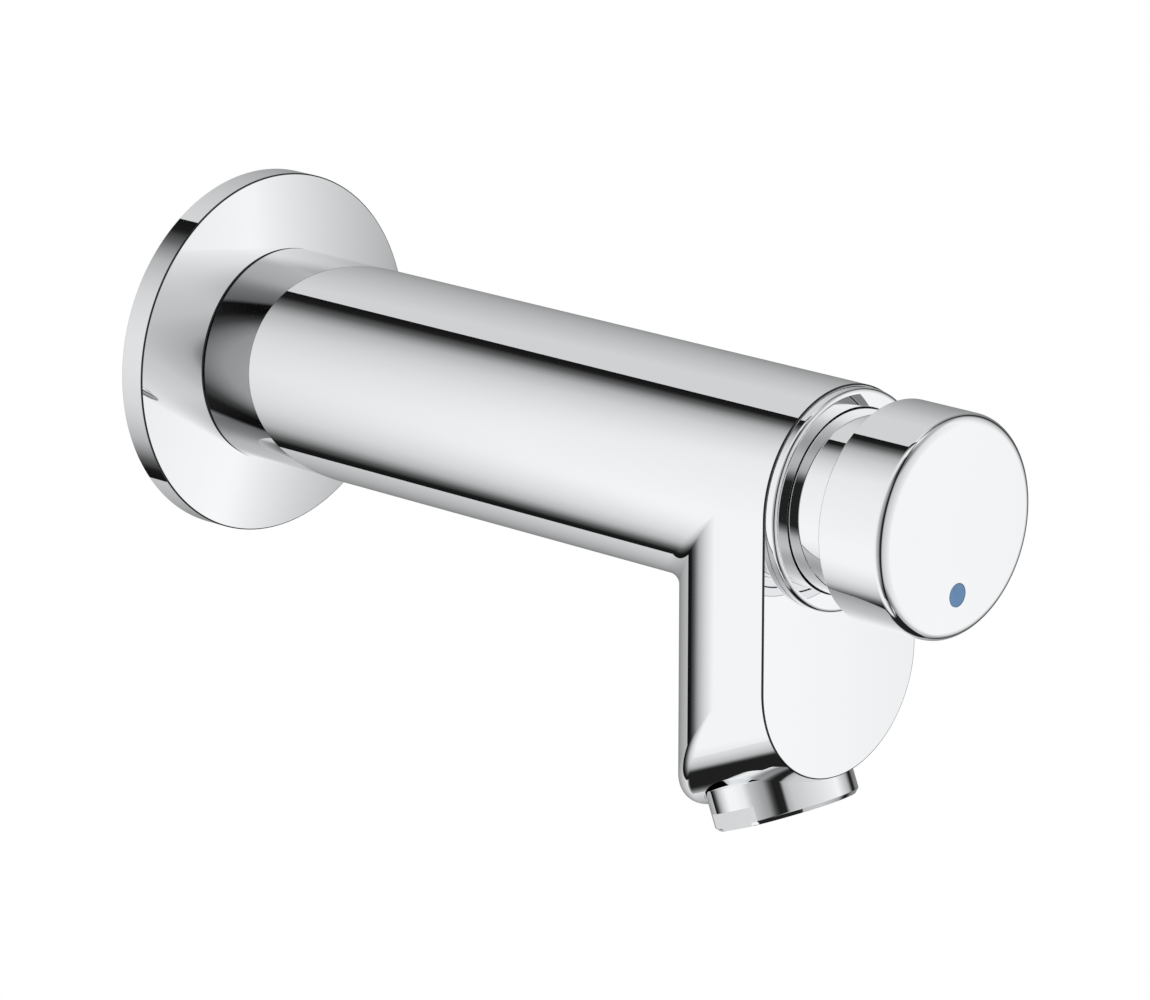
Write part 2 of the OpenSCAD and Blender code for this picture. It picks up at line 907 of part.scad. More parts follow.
module button_cap() {
    round_at = [cap_r - button_round, button_front - button_round];
    color(chrome)
    difference() {
        turned(concat(
            [[cap_bore_r, button_rear], [cap_r, button_rear]],
            corner(round_at, button_round, 0, 90),
            [
                [0, button_front],
                [0, button_front - cap_face_t],
                [cap_bore_r, button_front - cap_face_t]
            ]
        ));
        outward()
        translate([0, -dot_drop, button_front - dot_t - cord_gap])
        cylinder(d = dot_d + 2 * cord_gap, h = dot_t + cut);
    }
}

module colour_dot() {
    color([0.20, 0.36, 0.60])
    outward()
    translate([0, -dot_drop, button_front - dot_t])
    cylinder(d = dot_d, h = dot_t);
}

module aerator_housing() {
    b = aerator_bevel;
    color(chrome)
    at_aerator()
    difference() {
        rotate_extrude()
        polygon([
            [aerator_mouth_r, 0],
            [aerator_r - b, 0],
            [aerator_r, b],
            [aerator_r, aerator_skirt - aerator_slope],
            [aerator_thread_r, aerator_skirt],
            [aerator_thread_r, aerator_top],
            [aerator_bore_r, aerator_top],
            [aerator_bore_r, aerator_lip],
            [aerator_mouth_r, aerator_lip]
        ]);
        for (side = [0, 180])
            rotate(wrench_turn + side)
            translate([wrench_flats / 2, -aerator_r, -cut])
            cube([aerator_r, aerator_d, wrench_h + cut]);
    }
}

module aerator_gasket() {
    ledge = 2;
    color(rubber)
    at_aerator()
    translate([0, 0, aerator_top + fit_gap])
    difference() {
        cylinder(r = aerator_thread_r, h = aerator_gasket_h);
        translate([0, 0, -cut])
        cylinder(r = aerator_bore_r - ledge, h = aerator_gasket_h + 2 * cut);
    }
}

module aerator_insert() {
    wall = 1.2;
    color(white_plastic)
    at_aerator()
    difference() {
        translate([0, 0, insert_bottom])
        cylinder(r = insert_r, h = insert_top - insert_bottom);
        translate([0, 0, insert_bottom + insert_floor])
        cylinder(r = insert_r - wall, h = insert_top);
        for (i = [0:jet_rings])
            for (j = [0:max(0, 6 * i - 1)])
                rotate(i == 0 ? 0 : 60 / i * j)
                translate([jet_pitch * i, 0, insert_bottom - cut])
                cylinder(d = jet_d, h = insert_floor + 2 * cut);
    }
}

module aerator_screen() {
    mesh = 1.6;
    wire = 0.5;
    rim = 1;
    spans = floor(insert_r / mesh) - 1;
    color(steel)
    at_aerator()
    translate([0, 0, insert_top + fit_gap])
    union() {
        difference() {
            cylinder(r = insert_r, h = screen_t);
            translate([0, 0, -cut])
            cylinder(r = insert_r - rim, h = screen_t + 2 * cut);
        }
        intersection() {
            cylinder(r = insert_r - rim / 2, h = wire);
            union()
            for (i = [-spans:spans]) {
                translate([mesh * i - wire / 2, -insert_r, 0])
                cube([wire, 2 * insert_r, wire]);
                translate([-insert_r, mesh * i - wire / 2, 0])
                cube([2 * insert_r, wire, wire]);
            }
        }
    }
}

wall_plate();
plate_gasket();
wall_nipple();
nipple_o_rings();
inlet_strainer();
tap_body();
base_seal();
lock_screw();
cartridge_sleeve();
sleeve_o_rings();
valve_seat();
seat_washer();
washer_holder();
stem_nut();
stem();
partition_seal();
return_spring();
timing_piston();
piston_lip_seal();
bleed_needle();
piston_clip();
guide_bush();
stem_seal();
snap_ring();
retaining_collar();
collar_seal();
neck_guide();
button_neck();
button_nut();
cap_ring();
button_cap();
colour_dot();
aerator_housing();
aerator_gasket();
aerator_insert();
aerator_screen();
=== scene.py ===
"""A push timed tap for a wall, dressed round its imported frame.

Sizes are in millimetres and become metres where a mesh is made. The origin lies in the wall's
surface on the barrel's axis, +Z is up, and the tap reaches out along -Y.
"""
import json

import bpy
import numpy as np
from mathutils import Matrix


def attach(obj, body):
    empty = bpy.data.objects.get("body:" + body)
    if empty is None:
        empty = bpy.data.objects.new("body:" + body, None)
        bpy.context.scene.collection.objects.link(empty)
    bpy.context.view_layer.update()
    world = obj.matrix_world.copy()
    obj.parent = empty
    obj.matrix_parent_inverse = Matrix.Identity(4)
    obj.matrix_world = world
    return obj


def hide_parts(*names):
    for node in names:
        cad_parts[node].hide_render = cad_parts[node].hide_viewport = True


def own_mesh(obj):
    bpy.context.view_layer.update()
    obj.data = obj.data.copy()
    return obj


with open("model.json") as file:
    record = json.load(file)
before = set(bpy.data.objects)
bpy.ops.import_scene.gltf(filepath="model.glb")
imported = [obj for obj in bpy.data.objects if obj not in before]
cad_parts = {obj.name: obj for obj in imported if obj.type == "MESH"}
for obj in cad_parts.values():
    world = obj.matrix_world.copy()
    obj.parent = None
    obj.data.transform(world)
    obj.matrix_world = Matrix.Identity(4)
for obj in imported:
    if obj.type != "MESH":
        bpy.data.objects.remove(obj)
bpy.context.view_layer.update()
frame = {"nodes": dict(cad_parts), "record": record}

MM = 0.001
# Points in one cell of this size become one point. The offset keeps round numbers off its border.
MERGE, MERGE_OFFSET = 1e-4, 0.137

BARREL_R = 20.7
# Wall plate
PLATE_R = 35.0
PLATE_DEPTH = 5.5
PLATE_DOME = 240.0
PLATE_WALL = 1.5
PLATE_HOLE_R = 15.99
PLATE_EDGE = 0.3
PLATE_BREAK = 0.15


def plate_face(r):
    """Distance of the plate's domed face from the wall: it falls by D - sqrt(D^2 - r^2)."""
    return PLATE_DEPTH + np.sqrt(PLATE_DOME**2 - r**2) - np.sqrt(PLATE_DOME**2 - PLATE_R**2)


PLATE_SEAT = plate_face(BARREL_R)
# Body
BODY_REAR = PLATE_SEAT + 0.1
REAR_ROUND = 0.4
REACH = 150.5
SPOUT_AXIS = 139.6
ARC_DROP = 31.2
FRONT_DROP = ARC_DROP + BARREL_R
TILT = np.radians(22.5)
SIN_TILT, COS_TILT = np.sin(TILT), np.cos(TILT)
ELBOW_FILLET = 4.0
HEEL_ROUND = 3.0
FRONT_EDGE = 0.3
# Lock screw's hole under the barrel
LOCK_AT = BODY_REAR + 16.5
LOCK_HOLE_R = 2.6
LOCK_WINDOW = 5.0
LOCK_FLOOR = 13.0
# Bores along the barrel's axis, as radius and far end
SOCKET_R, SOCKET_END = 12.5, PLATE_SEAT + 36.5
INLET_R, INLET_END = 8.0, 66.5
INLET_CHAMBER_R, INLET_CHAMBER_END = 12.05, 84.6
CHAMBER_R, CHAMBER_END = 15.6, 134.4
COUNTERBORE_R = 18.4
BASE_GROOVE_IN, BASE_GROOVE_OUT, BASE_GROOVE_END = 16.54, 18.44, PLATE_SEAT + 1.05
# Aerator
AERATOR_SETBACK = 14.7
AERATOR_PROUD = 4.4
AERATOR_R = 13.5
AERATOR_RECESS_R = 13.8
AERATOR_SKIRT = 10.0
AERATOR_CLEARANCE = 0.1
AERATOR_THREAD_R = 12.0
AERATOR_TOP = 17.9
AERATOR_SOCKET_R, AERATOR_SOCKET_TOP = 12.1, 19.9
AERATOR_BORE_R = 10.6
AERATOR_MOUTH_R = 9.5
AERATOR_MOUTH_ROUND = 0.3
AERATOR_LIP, AERATOR_LIP_ROUND = 1.2, 0.15
AERATOR_BEVEL = 0.8
AERATOR_SLOPE = 2.2
AERATOR_BREAK, AERATOR_SIDE_BREAK = 0.1, 0.2
WRENCH_FLAT = 12.0
WRENCH_H = 3.5
WRENCH_TURN = np.radians(-8.0)
# The mesh has lines this far to each side of a flat's ends
WRENCH_SPLIT = np.radians(0.1)
# A face that looks along the jet by more than this is an end of the housing, not its side
END_ON = 0.9
# Collar, neck and button
COLLAR_R = 20.35
COLLAR_REAR = 138.6
COLLAR_SPIGOT_R, COLLAR_SPIGOT_BREAK = 18.3, 0.2
COLLAR_FACE, COLLAR_FACE_BREAK = 150.55, 0.1
COLLAR_FRONT = 152.7
COLLAR_ROUND = 1.0
COLLAR_BORE_R, COLLAR_BORE_BREAK = 17.0, 0.12
COLLAR_LEDGE_AT = 151.3
GUIDE_R = 17.5
COLLAR_SEAL_IN, COLLAR_SEAL_OUT, COLLAR_SEAL_END = 18.65, 19.7, 151.15
NECK_R = 16.8
NECK_BORE_R = 15.0
NECK_REAR, NECK_REAR_ROUND = 147.5, 0.3
NECK_ROOT_ROUND = 0.2
NECK_FLANGE_R, NECK_FLANGE_BREAK = 18.6, 0.15
NECK_FLANGE_REAR = 162.9
NECK_FLANGE_FRONT = 166.3
NECK_GROOVE_R, NECK_GROOVE_REAR, NECK_GROOVE_FRONT = 17.2, 163.75, 165.45
NECK_WEB_REAR = 160.3
NECK_HOLE_R = 2.55
BUTTON_R = 20.35
BUTTON_BORE_R = 18.7
BUTTON_REAR, BUTTON_REAR_BREAK, BUTTON_LIP_BREAK = 162.7, 0.25, 0.1
BUTTON_FRONT = 177.4
BUTTON_ROUND = 2.0
BUTTON_FACE_T = 2.0
BUTTON_INSIDE_ROUND = 0.4
DOT_R = 2.15
DOT_DROP = 12.1
DOT_T = 0.8
DOT_GAP = 0.05
DOT_ROUND = 0.12
# Wall nipple
THREAD_R, THREAD_DEPTH, THREAD_PITCH, THREAD_LEN = 10.4775, 1.162, 1.814, 15.0
THREAD_ROOT_R = THREAD_R - THREAD_DEPTH
THREAD_LEAD_R = 8.9
THREAD_RELIEF, THREAD_FADE = 1.5, 1.2
THREAD_STEEPNESS = 1.4
HEX_FLATS, HEX_FRONT = 27.0, PLATE_SEAT - 0.5
SPIGOT_R, SPIGOT_FRONT = 12.4, HEX_FRONT + 35.0
LOCK_GROOVE_R, LOCK_GROOVE_HALF = 11.2, 2.7
WATERWAY_R = 5.5
KEY_FLATS, KEY_REAR = 12.0, SPIGOT_FRONT - 8.0
SPIGOT_GROOVE_R, SPIGOT_GROOVE_HALF = 10.6, 1.3
SPIGOT_GROOVES_AT = (KEY_REAR - 3.0, SPIGOT_FRONT - 4.0)
# Return spring
SPRING_R, SPRING_WIRE_R = 7.5, 0.65
SPRING_REAR, SPRING_LEN, SPRING_TURNS = 99.6, 19.8, 6

# Steps of the meshes. Patches that meet have the same number of steps on their border.
TURN_STEPS = 192
LOWER_STEPS = 64
SIDE_STEPS, DEPTH_STEPS = 16, 8
WINDOW_STEPS, WINDOW_RINGS = 16, 3
RECESS_RINGS = 8
FILLET_STEPS, HEEL_STEPS, EDGE_STEPS = 16, 12, 5
DOME_STEPS = 16
FRONT_RINGS, CAP_RINGS = 2, 4
THREAD_STEPS = 150
SPRING_STEPS, WIRE_STEPS = 48, 16
ROUND_STEPS, REAR_ROUND_STEPS, LARGE_ROUND_STEPS = 6, 8, 10
HALVINGS = 60

X, Y, Z = np.eye(3)
FULL_TURN = np.linspace(0, 2 * np.pi, TURN_STEPS + 1)
UPPER_TURN = FULL_TURN[:TURN_STEPS // 2 + 1]
LOWER_TURN = np.linspace(-np.pi / 2, np.pi / 2, TURN_STEPS // 2 + 1)
# The lines of the lower half between which the lock screw's window lies
LOCK_FIRST = (TURN_STEPS // 2 - WINDOW_STEPS) // 2
LOCK_LAST = LOCK_FIRST + WINDOW_STEPS
DOWN_TILT = np.array([0, COS_TILT, -SIN_TILT])
UP_JET = np.array([0, SIN_TILT, COS_TILT])
AERATOR_FOOT = np.array([0, -REACH, -FRONT_DROP]) + AERATOR_SETBACK * DOWN_TILT
AERATOR_RIM = AERATOR_FOOT - AERATOR_PROUD * UP_JET
# An axis is an origin, a direction along it, and the directions of 0 and 90 degrees round it
BARREL_AXIS = (np.zeros(3), -Y, X, Z)
DOT_AXIS = (-DOT_DROP * Z, -Y, X, Z)
AERATOR_AXIS = (AERATOR_RIM, UP_JET, X, DOWN_TILT)


def unit(v):
    """Vectors brought to length 1."""
    return v / np.linalg.norm(v, axis=-1, keepdims=True)


def shares(steps):
    """Equal steps from 0 to 1."""
    return np.linspace(0, 1, steps + 1)


def coords(*parts):
    """Points from their separate coordinates."""
    return np.stack(np.broadcast_arrays(*parts), -1)


def spokes(angles, first=X, second=Z):
    """Directions round an axis: cos a * first + sin a * second."""
    return np.cos(angles)[..., None] * first + np.sin(angles)[..., None] * second


def turn_between(a, b, way):
    """Unit vectors on the shortest turn from a to b, one column per share of the turn.

    sin((1 - s) w) / sin w * a + sin(s w) / sin w * b, where w is the angle between a and b.
    """
    w = np.arccos(np.clip((a * b).sum(-1), -1, 1))
    w = np.maximum(w, 1e-9)[:, None, None]
    s = way[None, :, None]
    return (np.sin((1 - s) * w) * a[:, None] + np.sin(s * w) * b[:, None]) / np.sin(w)


def between(a, b, way):
    """Points on the straight lines from a to b, one column per share of the way."""
    s = way[None, :, None]
    return (1 - s) * a[:, None] + s * b[:, None]


def facing(points, normal):
    """A patch of points whose normal is the same all over."""
    return points, np.broadcast_to(normal, points.shape)


def ruled(a, b, normal, steps=1):
    """A patch of straight lines from a to b: (1 - s) a + s b.

    The normal is one for the whole patch or one for each line.
    """
    points = between(a, b, shares(steps))
    return points, np.broadcast_to(normal[..., None, :], points.shape)


def rolled(centres, radius, a, b, steps):
    """The path of a ball's side: centre + radius * the turn from a to b.

    A minus radius gives the hollow fillet on the ball's far side, with the same normals.
    """
    bend = turn_between(a, b, shares(steps))
    return centres[:, None] + radius * bend, bend


def profile_parts(corners, steps):
    """Straight parts and round corners of a turned outline, in order of travel.

    corners holds rows of radius, distance along the axis, and rounding. A rounding is the arc that
    touches both lines at its corner, from rounding * tan(turn / 2) before it. The outside is on
    the right of travel. Each part is an array of places and one of normals.
    """
    rows = np.array(corners, float)
    place, rounding = rows[:, :2], rows[:, 2]
    step = unit(np.diff(place, axis=0))
    right = np.stack([step[:, 1], -step[:, 0]], -1)
    parts = []
    begin = place[0]
    for i, end in enumerate(place[1:]):
        r = rounding[i + 1] if i + 1 < len(step) else 0
        if r == 0:
            parts.append((np.array([begin, end]), np.array([right[i], right[i]])))
            begin = end
            continue
        cross = step[i, 0] * step[i + 1, 1] - step[i, 1] * step[i + 1, 0]
        turn = np.arctan2(cross, step[i] @ step[i + 1])
        leave = end - r * np.tan(abs(turn) / 2) * step[i]
        parts.append((np.array([begin, leave]), np.array([right[i], right[i]])))
        angle = np.arctan2(right[i, 1], right[i, 0]) + turn * shares(steps)
        normal = np.stack([np.cos(angle), np.sin(angle)], -1)
        centre = leave - np.sign(turn) * r * right[i]
        arc = centre + np.sign(turn) * r * normal
        parts.append((arc, normal))
        begin = arc[-1]
    return parts


def turned(corners, axis=BARREL_AXIS, angles=FULL_TURN, steps=ROUND_STEPS):
    """Patches of a turned surface: each part of an outline carried round an axis.

    point = origin + distance * along + radius * (cos a * first + sin a * second)
    """
    origin, along, first, second = axis
    spoke = spokes(angles, first, second)
    patches = []
    for place, normal in profile_parts(corners, steps):
        r, d = place[:, 0, None, None], place[:, 1, None, None]
        nr, nd = normal[:, 0, None, None], normal[:, 1, None, None]
        patches.append((origin + d * along + r * spoke, nd * along + nr * spoke))
    return patches


def patch_faces(patches):
    """Points, normals and four-cornered faces of all patches, turned to agree with the normals."""
    points = np.concatenate([p.reshape(-1, 3) for p, _ in patches])
    normals = np.concatenate([n.reshape(-1, 3) for _, n in patches])
    faces = []
    start = 0
    for p, _ in patches:
        rows, columns = p.shape[:2]
        index = start + np.arange(rows * columns).reshape(rows, columns)
        corners = [index[:-1, :-1], index[1:, :-1], index[1:, 1:], index[:-1, 1:]]
        faces.append(np.stack(corners, -1).reshape(-1, 4))
        start += rows * columns
    faces = np.concatenate(faces)
    corner = points[faces]
    across = np.cross(corner[:, 2] - corner[:, 0], corner[:, 3] - corner[:, 1])
    inward = (across * normals[faces].sum(1)).sum(-1) < 0
    faces[inward] = faces[inward][:, ::-1]
    return points, normals, faces


def make_mesh(name, patches, edges=()):
    """One mesh from patches that share their borders. Faces of edges take the second material, a
    painted dark shade line.

    Points that coincide are merged, a face that loses a corner becomes a triangle or goes, and each
    corner of a face keeps its own patch's normal, so that edges stay crisp and curves stay true.
    """
    points, normals, faces = patch_faces([*patches, *edges])
    plain = sum((p.shape[0] - 1) * (p.shape[1] - 1) for p, _ in patches)
    on_edge = np.arange(len(faces)) >= plain
    key = np.round(points / MERGE + MERGE_OFFSET).astype(np.int64)
    _, first, merged = np.unique(key, axis=0, return_index=True, return_inverse=True)
    ring = merged.reshape(-1)[faces]
    doubled = ring == np.roll(ring, -1, axis=1)
    fours = doubled.sum(1) == 0
    threes = doubled.sum(1) == 1
    kept = ~doubled[threes]
    triangles = ring[threes][kept].reshape(-1, 3)
    corner_normals = np.concatenate([
        normals[faces[fours]].reshape(-1, 3),
        normals[faces[threes][kept]].reshape(-1, 3),
    ])
    mesh = bpy.data.meshes.new(name)
    mesh.from_pydata((points[first] * MM).tolist(), [], ring[fours].tolist() + triangles.tolist())
    mesh.polygons.foreach_set("use_smooth", np.ones(len(mesh.polygons), bool))
    edge_faces = np.concatenate([on_edge[fours], on_edge[threes]])
    mesh.polygons.foreach_set("material_index", edge_faces.astype(np.int32))
    mesh.normals_split_custom_set(corner_normals.tolist())
    mesh.update()
    return mesh


def put(name, data):
    """A new object at the origin, linked into the scene."""
    thing = bpy.data.objects.new(name, data)
    bpy.context.scene.collection.objects.link(thing)
    return thing


def make_piece(name, patches, finish, body, slot, *nodes, edges=()):
    """A finished piece that rides on a body and stands for CAD nodes."""
    mesh = make_mesh(name, patches, edges)
    mesh.materials.append(finish)
    # Edge faces take the painted dark edge shade as their second material
    if edges:
        mesh.materials.append(PAINTED_EDGE_SHADE)
    piece = put(name, mesh)
    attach(piece, body)
    if nodes:
        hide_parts(*nodes)
    return piece


# Materials

# The part of a noise's range from 0 to 1 that most of its values lie in
NOISE_MIDDLE = (0.3, 0.7)


def add_node(tree, kind, inputs=(), **settings):
    """A node with its settings, and with values or links on its inputs."""
    node = tree.nodes.new(kind)
    for key, value in settings.items():
        setattr(node, key, value)
    for key, value in dict(inputs).items():
        if isinstance(value, bpy.types.NodeSocket):
            tree.links.new(value, node.inputs[key])
        else:
            node.inputs[key].default_value = value
    return node


def object_noise(tree, scale, detail=3.0, stretch=(1, 1, 1)):
    """Noise on Object coordinates, which may be stretched along an axis."""
    place = add_node(tree, "ShaderNodeTexCoord").outputs["Object"]
    mapping = add_node(tree, "ShaderNodeMapping", {"Vector": place, "Scale": stretch})
    inputs = {"Vector": mapping.outputs[0], "Scale": scale, "Detail": detail}
    return add_node(tree, "ShaderNodeTexNoise", inputs).outputs["Fac"]


def change(tree, value, low, high, first=0.0, last=1.0, kind="LINEAR"):
    """A change from first to last, and no further, as a value goes from low to high."""
    inputs = {"Value": value, "From Min": low, "From Max": high, "To Min": first, "To Max": last}
    return add_node(tree, "ShaderNodeMapRange", inputs, interpolation_type=kind).outputs["Result"]


def blend(tree, share, first, second):
    """A colour between two others: (1 - share) * first + share * second."""
    inputs = {0: share, 6: first, 7: second}
    return add_node(tree, "ShaderNodeMix", inputs, data_type="RGBA").outputs[2]


def make_finish(name, shades, drift, roughness, grain, relief=None, sockets=()):
    """A finish with two noises on it, each given by object_noise's values.

    Drift moves the colour between two shades. Grain moves the roughness between two values and,
    with relief's height in metres and its strength, the surface. Sockets are the same all over.
    """
    finish = bpy.data.materials.new(name)
    finish.use_nodes = True
    tree = finish.node_tree
    surface = tree.nodes["Principled BSDF"]
    for socket, value in dict(sockets).items():
        surface.inputs[socket].default_value = value
    dark, light = shades
    tint = change(tree, object_noise(tree, **drift), *NOISE_MIDDLE)
    fine = object_noise(tree, **grain)
    tree.links.new(blend(tree, tint, (*dark, 1), (*light, 1)), surface.inputs["Base Color"])
    tree.links.new(change(tree, fine, *NOISE_MIDDLE, *roughness), surface.inputs["Roughness"])
    if relief:
        inputs = {"Height": fine, "Distance": relief[0], "Strength": relief[1]}
        bump = add_node(tree, "ShaderNodeBump", inputs)
        tree.links.new(bump.outputs["Normal"], surface.inputs["Normal"])
    return finish


def metal_finish(name, shades, roughness, stretch):
    """Machined metal: fine cutting marks drawn out along one direction."""
    marks = {"scale": 700.0, "detail": 4.0, "stretch": stretch}
    relief = (0.00003, 0.25)
    return make_finish(name, shades, {"scale": 60.0}, roughness, marks, relief, METAL)


def moulded_finish(name, shades, roughness, scale):
    """Rubber or moulded plastic: a fine grain with slight changes of shade."""
    skin = {"scale": scale, "detail": 4.0}
    relief = (0.00004, 0.3)
    return make_finish(name, shades, {"scale": 80.0}, roughness, skin, relief)


METAL = {"Metallic": 1.0}
CLEAR_COAT = {"Coat Weight": 0.4, "Coat Roughness": 0.08}
# Polished chrome plate: a mirror whose polish and tint drift slightly over the surface
CHROME = make_finish(
    "polished_chrome", [(0.925, 0.932, 0.942), (0.945, 0.95, 0.956)], {"scale": 22.0},
    (0.012, 0.03), {"scale": 900.0, "detail": 2.0}, sockets=METAL,
)
# Painted shade: a near-black chrome laid on crisp edges, so that each edge shows a dark line
PAINTED_EDGE_SHADE = make_finish(
    "chrome_painted_edge_shade", [(0.045, 0.045, 0.047), (0.075, 0.076, 0.08)], {"scale": 60.0},
    (0.1, 0.2), {"scale": 60.0}, sockets=METAL,
)
BRASS = metal_finish(
    "turned_brass", [(0.72, 0.5, 0.22), (0.78, 0.57, 0.27)], (0.2, 0.32), (1, 12, 1),
)
STEEL = metal_finish(
    "stainless_steel", [(0.52, 0.52, 0.51), (0.6, 0.6, 0.59)], (0.22, 0.36), (12, 1, 12),
)
RUBBER = moulded_finish(
    "black_rubber", [(0.012, 0.012, 0.013), (0.022, 0.022, 0.024)], (0.55, 0.75), 900.0,
)
WHITE_PLASTIC = moulded_finish(
    "white_plastic", [(0.7, 0.7, 0.68), (0.78, 0.78, 0.76)], (0.35, 0.5), 700.0,
)
GREY_PLASTIC = moulded_finish(
    "grey_plastic", [(0.2, 0.21, 0.23), (0.26, 0.27, 0.29)], (0.35, 0.5), 700.0,
)
# Blue enamel under a clear coat, faintly mottled as a poured filling is
ENAMEL = make_finish(
    "blue_enamel", [(0.085, 0.235, 0.47), (0.105, 0.265, 0.51)], {"scale": 900.0},
    (0.3, 0.4), {"scale": 900.0}, sockets=CLEAR_COAT,
)


# Body


def under_point(beta, u):
    """The spout's underside: the front's lower half circle carried back and down at the tilt.

    x = R sin b, y = -reach + u cos t, z = -arc_drop - R cos b - u sin t
    """
    x = BARREL_R * np.sin(beta)
    y = -REACH + u * COS_TILT
    z = -ARC_DROP - BARREL_R * np.cos(beta) - u * SIN_TILT
    return coords(x, y, z)


def under_normal(beta):
    """The underside's normal: (sin b cos t, -cos b sin t, -cos b cos t), brought to length 1."""
    s, c = np.sin(beta), np.cos(beta)
    return unit(coords(s * COS_TILT, -c * SIN_TILT, -c * COS_TILT))


def under_edge(beta):
    """Distance along the underside at which a ball in the front edge touches it.

    edge radius * (1 - the normal's share towards the front) / cos t
    """
    toward_front = -under_normal(beta)[..., 1]
    return FRONT_EDGE * (1 - toward_front) / COS_TILT


def heel(theta):
    """The ball that rounds the spout's heel between its round back and its underside.

    The ball of radius q touches the back at angle th and the underside at angle b, where
    (R - q) sin th = sin b (R - q cos t / N) with N the length of the underside's raw normal.
    The angle b is found by halving. Returns the ball's centres, b, and u of the contact.
    """
    inner = BARREL_R - HEEL_ROUND
    low, high = np.full_like(theta, -np.pi / 2), np.full_like(theta, np.pi / 2)
    for _ in range(HALVINGS):
        b = (low + high) / 2
        length = np.sqrt((np.sin(b) * COS_TILT) ** 2 + np.cos(b) ** 2)
        short = np.sin(b) * (BARREL_R - HEEL_ROUND * COS_TILT / length) < inner * np.sin(theta)
        low, high = np.where(short, b, low), np.where(short, high, b)
    back = -SPOUT_AXIS + inner * np.cos(theta)
    u = (back + REACH + HEEL_ROUND * under_normal(b)[:, 1]) / COS_TILT
    centre = under_point(b, u) - HEEL_ROUND * under_normal(b)
    return centre, b, u


def front_outline():
    """Places and outward directions round the flat front, where its edge meets the sides.

    It runs over the top half circle, down the left flat, round the lower half circle and up the
    right flat. Returns the contact points on the sides and their normals.
    """
    over_normal = spokes(UPPER_TURN)
    over = BARREL_R * over_normal - (REACH - FRONT_EDGE) * Y
    beta = np.linspace(-np.pi / 2, np.pi / 2, LOWER_STEPS + 1)
    lower = under_point(beta, under_edge(beta))
    left = between(over[-1:], lower[:1], shares(SIDE_STEPS))[0]
    right = between(lower[-1:], over[:1], shares(SIDE_STEPS))[0]
    contact = np.concatenate([over, left[1:-1], lower, right[1:]])
    left_normal, right_normal = np.tile(-X, (SIDE_STEPS - 1, 1)), np.tile(X, (SIDE_STEPS, 1))
    normal = np.concatenate([over_normal, left_normal, under_normal(beta), right_normal])
    return contact, normal


def barrel_patches(theta, heel_centre):
    """The barrel, the elbow's fillet and the spout's round back.

    Below, each line runs at x = R sin th along the barrel, through the fillet of a ball of radius f
    whose centre is ((R + f) sin th, -axis + (R + f) cos th, -(R + f) cos th), and down the back.
    """
    down, back = spokes(theta, -Z, X), spokes(theta, Y, X)
    far = BARREL_R + ELBOW_FILLET
    h = far * np.cos(theta)
    ball = coords(far * np.sin(theta), -SPOUT_AXIS + h, -h)
    rear_at = BODY_REAR + REAR_ROUND
    window_from, window_to = LOCK_AT - LOCK_WINDOW, LOCK_AT + LOCK_WINDOW
    rear, window_rear, window_front = [
        BARREL_R * down - distance * Y for distance in (rear_at, window_from, window_to)
    ]
    strip, strip_normal = ruled(window_rear, window_front, down, WINDOW_STEPS)
    beside = slice(0, LOCK_FIRST + 1), slice(LOCK_LAST, None)
    foot = heel_centre + HEEL_ROUND * back
    patches = [
        ruled(rear, window_rear, down),
        *[(strip[part], strip_normal[part]) for part in beside],
        ruled(window_front, ball - ELBOW_FILLET * down, down),
        rolled(ball, -ELBOW_FILLET, down, back, FILLET_STEPS),
        ruled(ball - ELBOW_FILLET * back, foot, back, SIDE_STEPS),
    ]
    # The upper half, with rows where the patches beside it have theirs
    rows = np.concatenate([
        [rear_at],
        np.linspace(window_from, window_to, WINDOW_STEPS + 1),
        np.linspace(SPOUT_AXIS, REACH - FRONT_EDGE, DEPTH_STEPS + 1),
    ])
    up = spokes(UPPER_TURN)[:, None]
    points = BARREL_R * up - rows[None, :, None] * Y
    patches.append((points, np.broadcast_to(up, points.shape)))
    return patches


def lock_hole_patches(theta):
    """The barrel's skin round the lock screw's hole, and the hole.

    A square window of the barrel is filled by lines from its border to the hole's circle.
    """
    across = theta[LOCK_FIRST:LOCK_LAST + 1]
    along = np.linspace(-LOCK_WINDOW, LOCK_WINDOW, WINDOW_STEPS + 1)
    border = np.concatenate([
        coords(across, LOCK_WINDOW),
        coords(across[-1], along[-2:0:-1]),
        coords(across[::-1], -LOCK_WINDOW),
        coords(across[0], along[1:]),
    ])
    spoke = np.arctan2(border[:, 1], BARREL_R * np.sin(border[:, 0]))
    x, y = LOCK_HOLE_R * np.cos(spoke), LOCK_HOLE_R * np.sin(spoke)
    place = between(coords(np.arcsin(x / BARREL_R), y), border, shares(WINDOW_RINGS))
    normal = spokes(place[..., 0], -Z, X)
    skin = BARREL_R * normal + (place[..., 1, None] - LOCK_AT) * Y
    mouth = skin[:, 0]
    floor = mouth * (X + Y) - LOCK_FLOOR * Z
    middle = np.broadcast_to(-LOCK_AT * Y - LOCK_FLOOR * Z, floor.shape)
    return [
        (skin, normal),
        ruled(mouth, floor, -spokes(spoke, X, Y)),
        ruled(floor, middle, -Z),
    ]


